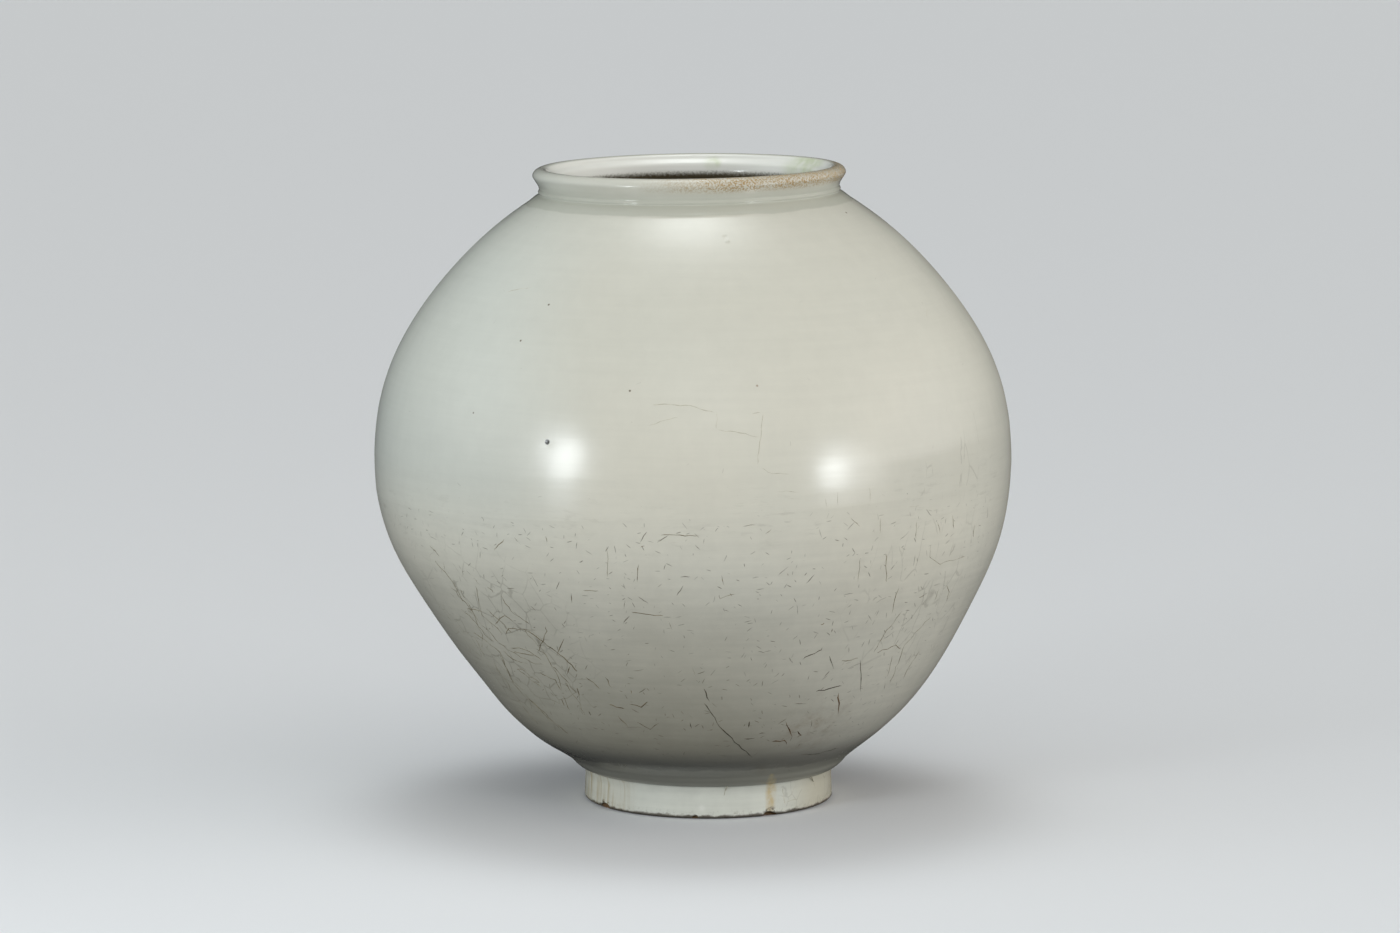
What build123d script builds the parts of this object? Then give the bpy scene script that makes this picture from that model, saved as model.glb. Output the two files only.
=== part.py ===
from build123d import *
import math
import os

os.makedirs("parts", exist_ok=True)

# A large white porcelain jar made of two thrown bowls joined rim to rim.
# Millimetres, Z up. The origin is the middle of the face that the foot stands on.

# Foot ring
foot_radius = 80.0
foot_height = 18.2
foot_wall = 13.0
foot_draft = 0.6
foot_wear = 1.6
well_draft = 3.0

# Slip between the pieces
slip = 0.8

# Outside of the two bowls
belly_radius = 204.8
belly_height = 221.0
base_ledge = 2.6
neck_ledge = 1.8
neck_height = 393.0

# Bends of the outline: two counted from the base, three below the belly, one above it, two from the neck
heel_out = 9.5
heel_rise = 10.9
calf_out = 29.0
calf_rise = 26.5
hip_inset = 59.8
hip_drop = 140.4
flank_inset = 27.8
flank_drop = 89.9
waist_inset = 8.7
waist_drop = 50.9
shoulder_inset = 7.6
shoulder_rise = 54.0
slope_out = 69.5
slope_drop = 63.0
collar_out = 31.5
collar_drop = 23.0

# Walls
wall = 8.0
floor = 13.0
sections = 16

# The lower bowl sagged to one side while it was wet, and all above it came along
lean = 10.0
seam_drop = 9.0
seam_tilt = 2.5

# Coil pressed over the joint inside
coil_thickness = 3.5
coil_width = 26.0

# Mouth rim: everything is counted from the plane it stands on
rim_shift = 2.2
rim_tilt = 0.8
rim_height = 16.2
rim_foot_radius = 95.2
rim_foot_width = 7.2
bead_height = 2.6
bead_bulge = 1.3
face_hollow = 0.4
lip_flare = 4.8
lip_drop = 5.2
lip_round = 5.5
crest_width = 4.1
crest_drop = 2.8
throat_inset = 3.0
throat_height = 4.7
throat_lip = 0.6

base_height = foot_height + slip
floor_height = base_height + floor
foot_top = foot_radius - foot_draft
base_radius = foot_top + base_ledge
neck_radius = rim_foot_radius + neck_ledge
rim_bore_radius = rim_foot_radius - rim_foot_width
lip_radius = rim_foot_radius + lip_flare
lip_height = rim_height - lip_drop
crest_radius = lip_radius - lip_round
inner_lip_radius = crest_radius - crest_width
inner_lip_height = rim_height - crest_drop
throat_radius = rim_bore_radius - throat_inset
seam_height = belly_height - seam_drop


def drift(height):
    """How far the middle of the wall has slid to the left at this height."""
    t = min(max((height - base_height) / (seam_height - base_height), 0.0), 1.0)
    return -lean * t * t * (3.0 - 2.0 * t)


def tilted(x, height, degrees):
    """A plane that dips to the left."""
    a = math.radians(degrees)
    return Plane(origin=(x, 0, height), z_dir=(-math.sin(a), 0, math.cos(a)))


def stacked(points):
    """A solid through level circles, each with its middle where the wall has drifted to."""
    rings = [Plane.XY.offset(z) * Pos(drift(z), 0) * Circle(r) for r, z in points]
    return loft(rings)


def turned(outline):
    """A solid turned about Z from a closed outline of radius and height."""
    face = make_face(Plane.XZ * outline)
    return revolve(face, axis=Axis.Z)


def runs(curve, count):
    """The starts of a curve's short straight runs, as a potter's rib leaves them."""
    return [curve @ (i / count) for i in range(count)]


# Outline of the bowls, from the foot to the neck
outline = Spline(
    (base_radius, base_height),
    (base_radius + heel_out, base_height + heel_rise),
    (base_radius + calf_out, base_height + calf_rise),
    (belly_radius - hip_inset, belly_height - hip_drop),
    (belly_radius - flank_inset, belly_height - flank_drop),
    (belly_radius - waist_inset, belly_height - waist_drop),
    (belly_radius, belly_height),
    (belly_radius - shoulder_inset, belly_height + shoulder_rise),
    (neck_radius + slope_out, neck_height - slope_drop),
    (neck_radius + collar_out, neck_height - collar_drop),
    (neck_radius, neck_height),
)


def wall_points(depth_low, depth_high):
    """Points of the wall, moved inwards by a depth that eases from the foot to the belly."""
    found = []
    for i in range(sections):
        u = i / (sections - 1)
        p = outline @ u
        d = outline % u
        t = min((p.Y - base_height) / (seam_height - base_height), 1.0)
        depth = depth_low + (depth_high - depth_low) * t
        found.append((p.X - d.Y * depth, p.Y + d.X * depth))
    return found


outside = stacked(wall_points(0.0, 0.0))
hollow = split(stacked(wall_points(floor, wall)), bisect_by=Plane.XY.offset(floor_height), keep=Keep.TOP)

neck_plane = tilted(drift(neck_height) - rim_shift, neck_height, rim_tilt)
mouth_bore = neck_plane * Cylinder(rim_bore_radius, 6 * wall)
shell = outside - hollow - mouth_bore

# The two bowls and the slip between their rims
seam_plane = tilted(drift(seam_height), seam_height, seam_tilt)
lower_bowl = split(shell, bisect_by=seam_plane.offset(-slip / 2), keep=Keep.BOTTOM)
above = split(shell, bisect_by=seam_plane.offset(-slip / 2), keep=Keep.TOP)
seam_slip = split(above, bisect_by=seam_plane.offset(slip / 2), keep=Keep.BOTTOM)
upper_whole = split(above, bisect_by=seam_plane.offset(slip / 2), keep=Keep.TOP)
upper_bowl = split(upper_whole, bisect_by=neck_plane, keep=Keep.BOTTOM)

# Coil over the joint inside, pressed flat: a ring of even thickness that fits the wall
coil_core = stacked(wall_points(floor + coil_thickness, wall + coil_thickness))
hollow_above = split(hollow, bisect_by=seam_plane.offset(-coil_width / 2), keep=Keep.TOP)
hollow_slice = split(hollow_above, bisect_by=seam_plane.offset(coil_width / 2), keep=Keep.BOTTOM)
seam_coil = hollow_slice - coil_core

# Foot ring and the slip above it
well_bottom = foot_radius - foot_wall
well_top = well_bottom - well_draft
foot_ring = turned(
    Polyline(
        (well_bottom + foot_wear, 0),
        (foot_radius - foot_wear, 0),
        (foot_radius, foot_wear),
        (foot_top, foot_height),
        (well_top, foot_height),
        (well_bottom, foot_wear),
        close=True,
    )
)
foot_slip = Pos(0, 0, foot_height) * turned(
    Polyline((well_top, 0), (foot_top, 0), (foot_top, slip), (well_top, slip), close=True)
)

# Mouth rim: a small bead, a face that leans out, a rounded lip and a throat that turns under
lip_mid = (
    (lip_radius + crest_radius) / 2 + lip_round * 0.22,
    (lip_height + rim_height) / 2 + lip_drop * 0.2,
)
crest_mid = (
    (crest_radius + inner_lip_radius) / 2 - crest_width * 0.12,
    (rim_height + inner_lip_height) / 2 + crest_drop * 0.18,
)
face_mid = (
    (rim_foot_radius + lip_radius) / 2 - face_hollow,
    (bead_height + lip_height) / 2,
)
bead_mid = (rim_foot_radius + bead_bulge, bead_height / 2)
throat_mid = (throat_radius, throat_height)
throat_end = (rim_bore_radius - throat_lip, 0.0)
bead_curve = ThreePointArc((rim_foot_radius, 0), bead_mid, (rim_foot_radius, bead_height))
face_curve = ThreePointArc((rim_foot_radius, bead_height), face_mid, (lip_radius, lip_height))
lip_curve = ThreePointArc((lip_radius, lip_height), lip_mid, (crest_radius, rim_height))
crest_curve = ThreePointArc((crest_radius, rim_height), crest_mid, (inner_lip_radius, inner_lip_height))
throat_curve = ThreePointArc((inner_lip_radius, inner_lip_height), throat_mid, throat_end)
rim_outline = Polyline(
    *runs(bead_curve, 2),
    *runs(face_curve, 2),
    *runs(lip_curve, 4),
    *runs(crest_curve, 2),
    *runs(throat_curve, 4),
    throat_end,
    close=True,
)
mouth_rim = neck_plane.offset(slip) * turned(rim_outline)
rim_slip = neck_plane * turned(
    Polyline(
        (rim_bore_radius, 0),
        (rim_foot_radius, 0),
        (rim_foot_radius, slip),
        (rim_bore_radius, slip),
        close=True,
    )
)

pieces = {
    "foot_ring": foot_ring,
    "foot_slip": foot_slip,
    "lower_bowl": lower_bowl,
    "seam_slip": seam_slip,
    "seam_coil": seam_coil,
    "upper_bowl": upper_bowl,
    "rim_slip": rim_slip,
    "mouth_rim": mouth_rim,
}
for name, piece in pieces.items():
    export_step(piece, "parts/" + name + ".step")
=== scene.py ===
import math
import random

import bpy
import numpy as np
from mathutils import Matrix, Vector
from mathutils.bvhtree import BVHTree


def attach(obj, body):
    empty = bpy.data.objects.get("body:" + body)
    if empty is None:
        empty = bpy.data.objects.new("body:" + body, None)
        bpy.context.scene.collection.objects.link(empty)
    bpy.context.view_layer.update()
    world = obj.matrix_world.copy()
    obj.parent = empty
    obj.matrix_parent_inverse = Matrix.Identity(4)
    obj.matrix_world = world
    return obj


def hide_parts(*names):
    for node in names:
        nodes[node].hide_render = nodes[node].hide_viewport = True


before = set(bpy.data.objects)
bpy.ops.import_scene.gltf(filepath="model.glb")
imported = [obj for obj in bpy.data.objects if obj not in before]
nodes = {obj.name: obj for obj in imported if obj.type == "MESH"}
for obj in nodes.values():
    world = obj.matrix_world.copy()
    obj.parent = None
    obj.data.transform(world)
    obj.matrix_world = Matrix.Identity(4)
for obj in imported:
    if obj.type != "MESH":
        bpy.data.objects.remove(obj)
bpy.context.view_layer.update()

MM = 0.001
hand = random.Random(11)

# The photograph's frame and the camera that fits it
PHOTO_WIDTH = 1400
PHOTO_HEIGHT = 933
FOCAL_PIXELS = 5653.0
SENSOR = 36.0
EYE = Vector((-5.41, -3617.0, 721.0)) * MM
LOOK_DOWN = math.radians(7.951)

# The clay beneath the glaze
SEAM_TILT = math.radians(2.5)
SEAM_HEIGHT = 212.44
SEAM_FACING = (-math.sin(SEAM_TILT), 0.0, math.cos(SEAM_TILT))
RIM_TILT = math.radians(0.8)
RIM_MIDDLE = (-12.21, 393.8)
RIM_FACING = (-math.sin(RIM_TILT), 0, math.cos(RIM_TILT))

# Tilts of the rings ease from one to another: from a height, over a rise or a drop
LOWER_TURN = (60.0, 110.0)
UPPER_TURN = (240.0, 90.0)
INNER_TURN = (380.0, -80.0)
FLOOR_TURN = (170.0, -90.0)
LEAST_TILT = 1e-6

# Measuring the wall: spokes, where the first one points, rounds, and a start outside the jar in metres
SPOKES = 24
SPOKE_OFFSET = 0.37
GAUGE_ROUNDS = 3
OUTSIDE = 0.4

# The glaze
GLAZE_PROUD = 0.45
GLAZE_THICK = 0.34
RING_CORNERS = 56
SPLINE_SHARES = (1 / 6, 4 / 6, 1 / 6)
ROUND_SHARE = (4 + 2 * math.cos(2 * math.pi / RING_CORNERS)) / 6
HAND_UNEVEN = 0.3
HAND_REACH = 75.0
SWAY_MIDDLE = 0.3

# Flat maps of the coats: the disc's middle and radius, and the corner where the hidden side is kept small
MAP_MIDDLE = 0.5
MAP_RADIUS = 0.495
HIDDEN_PLACE = 0.08
HIDDEN_SHARE = 0.14

# Telling which way a wall faces: the jar's axis lies a little to the left, and level faces have no say
AXIS_SHIFT = 0.01
LEVEL_LIMIT = 0.8


def merged(pieces):
    """The corners and faces of several pieces, to measure against."""
    corners, faces = [], []
    for piece in pieces:
        start = len(corners)
        corners += [v.co.copy() for v in piece.data.vertices]
        faces += [[start + i for i in p.vertices] for p in piece.data.polygons]
    return corners, faces


clay = BVHTree.FromPolygons(*merged(nodes.values()))


# Where a pixel of the photograph lies on the jar

def pixel_ray(px, py):
    """The way that a pixel of the photograph looks."""
    side = (px - PHOTO_WIDTH / 2) / FOCAL_PIXELS
    rise = (PHOTO_HEIGHT / 2 - py) / FOCAL_PIXELS
    ahead = Vector((0, math.cos(LOOK_DOWN), -math.sin(LOOK_DOWN)))
    up = Vector((0, math.sin(LOOK_DOWN), math.cos(LOOK_DOWN)))
    return (Vector((side, 0, 0)) + up * rise + ahead).normalized()


def pixel_spot(px, py):
    """The place on the clay behind a pixel of the photograph, and the way the clay faces there."""
    place, facing, _, _ = clay.ray_cast(EYE, pixel_ray(px, py))
    return place, facing


# Measuring the wall

def gauge(height, tilt=0.0, inside=False):
    """Middle and radius, in mm, where a plane that dips to the left cuts the wall."""
    middle, radius = 0.0, 0.0
    for _ in range(GAUGE_ROUNDS):
        hub = Vector((middle * math.cos(tilt), 0, height + middle * math.sin(tilt))) * MM
        reach = []
        for k in range(SPOKES):
            a = 2 * math.pi * (k + SPOKE_OFFSET) / SPOKES
            way = Vector((math.cos(a) * math.cos(tilt), math.sin(a), math.cos(a) * math.sin(tilt)))
            start = hub if inside else hub + way * OUTSIDE
            hit = clay.ray_cast(start, way if inside else -way)[0]
            reach.append(((hit - hub).length / MM, math.cos(a)))
        radius = sum(r for r, _ in reach) / SPOKES
        middle += 2 * sum(r * c for r, c in reach) / SPOKES
    return middle, radius


def wall_ring(height, tilt=0.0, proud=GLAZE_PROUD):
    """A ring that stands proud of the outer wall: middle x, z, radius and tilt."""
    middle, radius = gauge(height, tilt)
    return (middle * math.cos(tilt), height + middle * math.sin(tilt), radius + proud, tilt)


def rim_ring(radius, rise):
    """A ring of the mouth rim, counted from the plane that the rim stands on."""
    x = RIM_MIDDLE[0] - rise * math.sin(RIM_TILT)
    z = RIM_MIDDLE[1] + rise * math.cos(RIM_TILT)
    return (x, z, radius, RIM_TILT)


def cage(rings):
    """Rings whose rounded surface passes through the rings asked for."""
    asked = np.array(rings)
    count = len(asked)
    weights = np.eye(count)
    for i in range(1, count - 1):
        weights[i, i - 1:i + 2] = SPLINE_SHARES
    pulled = np.linalg.solve(weights, asked)
    pulled[:, 2] /= ROUND_SHARE
    return [tuple(row) for row in pulled]


# Modelling steps

def begin():
    """Nothing selected, nothing open."""
    if bpy.context.object and bpy.context.object.mode != "OBJECT":
        bpy.ops.object.mode_set(mode="OBJECT")
    bpy.ops.object.select_all(action="DESELECT")


def ring_up(name, rings):
    """A wall drawn up from a circle, ring by ring."""
    begin()
    x, z, radius, tilt = rings[0]
    bpy.ops.mesh.primitive_circle_add(
        vertices=RING_CORNERS, radius=radius * MM, location=(x * MM, 0, z * MM), rotation=(0, -tilt, 0)
    )
    piece = bpy.context.object
    piece.name = piece.data.name = name
    bpy.ops.object.transform_apply(location=True, rotation=True, scale=True)
    bpy.ops.object.mode_set(mode="EDIT")
    bpy.ops.mesh.select_all(action="SELECT")
    for x1, z1, radius1, tilt1 in rings[1:]:
        step = ((x1 - x) * MM, 0, (z1 - z) * MM)
        hub = (x1 * MM, 0, z1 * MM)
        bpy.ops.mesh.extrude_region_move(TRANSFORM_OT_translate={"value": step})
        grow = radius1 / radius
        bpy.ops.transform.resize(value=(grow, grow, grow), center_override=hub)
        if abs(tilt1 - tilt) > LEAST_TILT:
            bpy.ops.transform.rotate(value=tilt1 - tilt, orient_axis="Y", center_override=hub)
        x, z, radius, tilt = x1, z1, radius1, tilt1
    bpy.ops.object.mode_set(mode="OBJECT")
    return piece


def apply(piece, kind, **settings):
    """Adds a modifier, sets it and applies it."""
    begin()
    bpy.context.view_layer.objects.active = piece
    piece.select_set(True)
    bpy.ops.object.modifier_add(type=kind)
    modifier = piece.modifiers[-1]
    for key, value in settings.items():
        setattr(modifier, key, value)
    bpy.ops.object.modifier_apply(modifier=modifier.name)


def open_edit(piece):
    """Edit mode on one piece with nothing selected."""
    begin()
    bpy.context.view_layer.objects.active = piece
    piece.select_set(True)
    bpy.ops.object.mode_set(mode="EDIT")
    bpy.ops.mesh.select_all(action="DESELECT")
    bpy.ops.object.mode_set(mode="OBJECT")


def on_all(piece, step, **settings):
    """Runs one step of mesh editing on a whole piece."""
    open_edit(piece)
    bpy.ops.object.mode_set(mode="EDIT")
    bpy.ops.mesh.select_all(action="SELECT")
    step(**settings)
    bpy.ops.object.mode_set(mode="OBJECT")


def face_out(piece, outwards=True):
    """Turns all faces the same way: away from the jar's axis, or towards it."""
    on_all(piece, bpy.ops.mesh.normals_make_consistent, inside=False)
    upright = [p for p in piece.data.polygons if abs(p.normal.z) < LEVEL_LIMIT]
    votes = sum(p.normal.x * (p.center.x + AXIS_SHIFT) + p.normal.y * p.center.y for p in upright)
    if (votes > 0) != outwards:
        on_all(piece, bpy.ops.mesh.flip_normals)


def close_middle(piece):
    """Closes a coat's first ring with faces that meet in a middle."""
    open_edit(piece)
    for v in piece.data.vertices:
        v.select = v.index < RING_CORNERS
    bpy.context.tool_settings.mesh_select_mode = (True, False, False)
    bpy.ops.object.mode_set(mode="EDIT")
    bpy.ops.mesh.edge_face_add()
    bpy.ops.mesh.poke()
    bpy.ops.object.mode_set(mode="OBJECT")


def disc_map(piece, rings, hole):
    """A flat map of a coat: its rings laid out as rings of a disc."""
    run = [rings[0][2] if hole == 0 else 0.0]
    for (_, z0, r0, _), (_, z1, r1, _) in zip(rings, rings[1:]):
        run.append(run[-1] + math.hypot(r1 - r0, z1 - z0))
    layer = piece.data.uv_layers.new(name="OFBake")
    for loop in piece.data.loops:
        ring, corner = divmod(loop.vertex_index, RING_CORNERS)
        out = (hole + (1 - hole) * run[ring] / run[-1]) * MAP_RADIUS if ring < len(rings) else 0.0
        a = 2 * math.pi * corner / RING_CORNERS
        layer.data[loop.index].uv = (MAP_MIDDLE + out * math.cos(a), MAP_MIDDLE + out * math.sin(a))


def thicken(piece):
    """Gives a coat its thickness, and moves the map of its hidden side into a corner."""
    shown = len(piece.data.polygons)
    apply(piece, "SOLIDIFY", thickness=GLAZE_THICK * MM, offset=-1.0, use_even_offset=False)
    layer = piece.data.uv_layers["OFBake"]
    for face in piece.data.polygons[shown:]:
        for i in face.loop_indices:
            layer.data[i].uv = [HIDDEN_PLACE + (c - MAP_MIDDLE) * HIDDEN_SHARE for c in layer.data[i].uv]


def sway(piece, strength, size=HAND_REACH):
    """The slight unevenness that hands leave on a thrown wall, or a break leaves on clay."""
    cloud = bpy.data.textures.new("unevenness", "CLOUDS")
    cloud.noise_scale = size * MM
    cloud.noise_depth = 1
    amount = strength * MM
    apply(piece, "DISPLACE", texture=cloud, texture_coords="LOCAL", strength=amount, mid_level=SWAY_MIDDLE)


def soften(piece, degrees=60):
    """Smooth shading with crisp edges kept."""
    begin()
    bpy.context.view_layer.objects.active = piece
    piece.select_set(True)
    bpy.ops.object.shade_smooth_by_angle(angle=math.radians(degrees))


def seat(piece, slot, material, *clay_nodes):
    """The finished piece rides on the jar, takes its finish and stands for the clay it replaces."""
    piece.data.materials.clear()
    piece.data.materials.append(material)
    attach(piece, "root")
    if clay_nodes:
        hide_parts(*clay_nodes)


# Rings of the coats: middle x, height, radius and tilt, in mm

def ease(a, b, t):
    """A smooth step from a to b."""
    t = min(max(t, 0.0), 1.0)
    return a + (b - a) * t * t * (3 - 2 * t)


def turning(start, end, height, turn):
    """The tilt at a height, where it eases from one to another."""
    return ease(start, end, (height - turn[0]) / turn[1])


def flat_rings(profile):
    """Level rings about the jar's foot, from heights and radii."""
    return [(0.0, z, r, 0.0) for z, r in profile]


def seam_ring(step):
    """A ring near the seam, a little proud where the two bowls were luted."""
    ridge = SEAM_RIDGE * math.exp(-((step / SEAM_RIDGE_REACH) ** 2))
    return wall_ring(SEAM_HEIGHT + step, SEAM_TILT, GLAZE_PROUD + ridge)


def heel_ring(height, proud=GLAZE_PROUD):
    """A ring of the lower wall, fuller on the left just above the foot, where the wet bowl sagged."""
    x, z, radius, tilt = wall_ring(height, turning(0, SEAM_TILT, height, LOWER_TURN), proud)
    full = float(np.interp(height, SAG_HEIGHTS, SAG_FULLNESS))
    return (x - full / 2, z, radius + full / 2, tilt)


def throat_ring(rise):
    """A ring just inside the throat of the mouth rim."""
    height = RIM_MIDDLE[1] + rise - RIM_MIDDLE[0] * math.tan(RIM_TILT)
    return inner_ring(height, RIM_TILT)


def inner_ring(height, tilt):
    """A ring just inside the inner wall."""
    middle, radius = gauge(height, tilt, inside=True)
    return (middle * math.cos(tilt), height + middle * math.sin(tilt), radius - GLAZE_PROUD, tilt)


SEAM_RIDGE = 0.16
SEAM_RIDGE_REACH = 7.0
FOOT_HEIGHTS = (0.5, 1.3, 2.4, 5.0, 9.0, 13.0, 16.0)
FOOT_SHOULDER = ((18.6, 80.3), (20.2, 80.7), (21.0, 81.1), (21.35, 81.6))
HEEL_CURVE = ((21.5, 82.3), (22.1, 83.5), (23.2, 85.2), (24.7, 86.95), (26.5, 88.7))
HEEL_HEIGHTS = (
    28.8, 31.4, 34.4, 37.8, 42.2, 49.0, 60.0, 72.0, 85.0, 99.0, 113.0, 127.0, 141.0, 155.0, 168.0, 180.0,
)
SAG_HEIGHTS = (27.0, 30.0, 34.0, 37.5, 41.5, 46.0, 53.0, 57.0, 64.0, 72.0, 85.0)
SAG_FULLNESS = (0.0, 0.8, 2.2, 3.7, 4.6, 4.4, 3.9, 3.4, 2.2, 1.1, 0.0)
SEAM_STEPS = (-22.0, -14.0, -8.0, -4.0, -1.6, 0.0)
CLAY_SUNK = 0.15
HEEL_SUNK = 0.6
INSIDE_SUNK = 0.7
BOWL_WALL = 8.0
BOWL_EDGE_STEP = -0.5
BOWL_EDGE_INSETS = (0.4, 1.2, 4.0, 6.4, 7.3)
BOWL_STEPS = (-22.0, -14.0, -8.0, -4.0, -1.6, -0.7)
BOWL_UNDERSIDE = (
    (19.0, 10.0), (19.0, 34.0), (19.0, 58.0), (19.0, 74.0), (19.0, 78.4),
    (19.1, 79.2), (19.7, 79.5), (20.6, 79.9), (21.2, 80.6), (21.5, 81.3),
)
BOWL_FLOOR = ((31.6, 76.0), (31.3, 70.0), (31.3, 52.0), (31.3, 30.0), (31.3, 10.0))
SHOULDER_HEIGHTS = (242.0, 256.0, 270.0, 284.0, 298.0, 311.0, 323.0, 334.0, 344.0, 353.0, 361.0, 368.0)
COLLAR_HEIGHTS = (374.0, 379.0, 383.0, 386.4, 389.0)
RIM_BEAD = ((99.9, -2.0), (98.2, -0.85), (97.2, -0.2), (96.75, 0.4), (96.95, 1.05), (97.1, 1.7), (96.8, 2.4))
RIM_FACE = (
    (96.4, 3.1), (96.55, 4.1), (96.95, 5.6), (97.95, 7.4), (99.05, 9.1), (100.05, 10.7), (100.5, 12.0),
)
RIM_CREST = ((100.2, 13.4), (99.1, 14.9), (97.3, 16.1), (95.2, 16.65), (93.1, 16.4), (91.2, 15.3))
THROAT_RISES = (13.4, 11.2, 8.8, 6.4, 4.2, 2.2, 0.6)
BORE_EDGE = (86.95, -0.6)
BORE_PROFILE = (
    BORE_EDGE, (87.45, -1.8), (87.5, -3.4), (87.5, -5.2), (87.7, -6.8), (88.9, -7.9), (91.0, -8.6),
)
INNER_UPPER = (382.0, 377.0, 370.0, 360.0, 346.0, 330.0, 312.0, 294.0, 278.0)
COIL_STEPS = (50.0, 36.0, 25.0, 18.0, 14.4, 12.4, 8.0, 0.0, -8.0, -12.4, -14.4, -18.0, -25.0, -36.0)
INNER_LOWER = (160.0, 142.0, 124.0, 106.0, 90.0, 76.0, 64.0, 54.0, 46.0, 40.0, 36.0)
INNER_FLOOR = ((33.2, 74.5), (32.7, 68.0), (32.6, 52.0), (32.6, 30.0), (32.6, 10.0))
WELL_PROFILE = (
    (18.55, 8.0), (18.55, 30.0), (18.55, 50.0), (18.5, 58.0), (18.2, 61.6),
    (17.2, 63.2), (15.0, 64.0), (10.0, 65.0), (6.0, 65.7), (4.0, 66.05),
)
FOOT_PROFILE = (
    (0.0, 77.2), (0.0, 78.2), (0.5, 79.3), (1.7, 80.05), (3.2, 79.98), (9.0, 79.75), (16.4, 79.5),
    (17.7, 79.4), (18.2, 78.6), (18.2, 76.0), (18.2, 67.0), (18.2, 64.8), (17.6, 64.0), (16.4, 64.3),
    (9.0, 65.6), (3.2, 66.7), (1.4, 67.1), (0.4, 67.9), (0.0, 69.0), (0.0, 70.2),
)

foot_rings = [wall_ring(z) for z in FOOT_HEIGHTS] + flat_rings(FOOT_SHOULDER)
lower_rings = flat_rings(FOOT_SHOULDER[-1:] + HEEL_CURVE)
lower_rings += [heel_ring(z) for z in HEEL_HEIGHTS]
lower_rings += [seam_ring(step) for step in SEAM_STEPS]
upper_rings = [seam_ring(-step) for step in reversed(SEAM_STEPS)]
for z in SHOULDER_HEIGHTS + COLLAR_HEIGHTS:
    upper_rings.append(wall_ring(z, turning(SEAM_TILT, RIM_TILT, z, UPPER_TURN)))
upper_rings += [rim_ring(r, h) for r, h in RIM_BEAD + RIM_FACE + RIM_CREST]
upper_rings += [throat_ring(h) for h in THROAT_RISES]
upper_rings.append(rim_ring(*BORE_EDGE))
inner_rings = [rim_ring(r, h) for r, h in BORE_PROFILE]
inner_rings += [inner_ring(z, turning(RIM_TILT, SEAM_TILT, z, INNER_TURN)) for z in INNER_UPPER]
inner_rings += [inner_ring(SEAM_HEIGHT + step, SEAM_TILT) for step in COIL_STEPS]
inner_rings += [inner_ring(z, turning(SEAM_TILT, 0, z, FLOOR_TURN)) for z in INNER_LOWER]
inner_rings += flat_rings(INNER_FLOOR)


def bowl_rings():
    """Rings of the lower bowl's clay, from under its middle round to the middle of its floor."""
    rings = flat_rings(BOWL_UNDERSIDE)
    rings += flat_rings([(z, r - HEEL_SUNK) for z, r in HEEL_CURVE])
    rings += [heel_ring(z, -CLAY_SUNK) for z in HEEL_HEIGHTS]
    rings += [wall_ring(SEAM_HEIGHT + step, SEAM_TILT, -CLAY_SUNK) for step in BOWL_STEPS]
    rings += [wall_ring(SEAM_HEIGHT + BOWL_EDGE_STEP, SEAM_TILT, -inset) for inset in BOWL_EDGE_INSETS]
    for step in reversed(BOWL_STEPS):
        rings.append(wall_ring(SEAM_HEIGHT + step, SEAM_TILT, INSIDE_SUNK - BOWL_WALL))
    for z in INNER_LOWER:
        x, z1, radius, tilt = inner_ring(z, turning(SEAM_TILT, 0, z, FLOOR_TURN))
        rings.append((x, z1, radius + GLAZE_PROUD + INSIDE_SUNK, tilt))
    return rings + flat_rings(BOWL_FLOOR)


# Pieces

def coat(name, rings, hole=None, outwards=True, uneven=0.0):
    """A coat of glaze over the clay. Without a hole its first ring is closed to a middle."""
    piece = ring_up(name, cage(rings))
    if hole is None:
        close_middle(piece)
        hole = 0.0
    disc_map(piece, rings, hole)
    face_out(piece, outwards)
    apply(piece, "SUBSURF", levels=2, render_levels=2)
    if uneven:
        sway(piece, uneven)
    thicken(piece)
    return piece


def make_foot_body():
    """The foot ring of bare clay: drawn round its section, ring by ring, and closed."""
    piece = ring_up("foot_body", flat_rings(FOOT_PROFILE))
    open_edit(piece)
    bpy.ops.object.mode_set(mode="EDIT")
    bpy.ops.mesh.select_mode(type="EDGE")
    bpy.ops.mesh.select_non_manifold()
    bpy.ops.mesh.bridge_edge_loops()
    bpy.ops.object.mode_set(mode="OBJECT")
    on_all(piece, bpy.ops.mesh.normals_make_consistent, inside=False)
    apply(piece, "SUBSURF", levels=2, render_levels=2)
    return piece


def make_lower_body():
    """The lower bowl of bare clay: drawn up ring by ring, turned in at its rim and closed."""
    rings = [(x, z, radius / ROUND_SHARE, tilt) for x, z, radius, tilt in bowl_rings()]
    piece = ring_up("lower_body", rings)
    on_all(piece, bpy.ops.mesh.fill_holes, sides=0)
    on_all(piece, bpy.ops.mesh.normals_make_consistent, inside=False)
    apply(piece, "SUBSURF", levels=1, render_levels=1)
    return piece


def chip_out(pieces, pixel, along, deep, tall, turn):
    """A chip broken out of the foot's lower edge: the bite of a rough ball."""
    place, facing = pixel_spot(*pixel)
    begin()
    lie = (turn, 0, math.atan2(facing.y, facing.x) + math.pi / 2)
    bpy.ops.mesh.primitive_ico_sphere_add(subdivisions=4, radius=MM, location=place, rotation=lie)
    ball = bpy.context.object
    ball.scale = (along, deep, tall)
    bpy.ops.object.transform_apply(location=True, rotation=True, scale=True)
    sway(ball, CHIP_ROUGHNESS, CHIP_GRAIN)
    for piece in pieces:
        apply(piece, "BOOLEAN", object=ball, operation="DIFFERENCE", solver="EXACT")
    bpy.data.objects.remove(ball, do_unlink=True)


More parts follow.
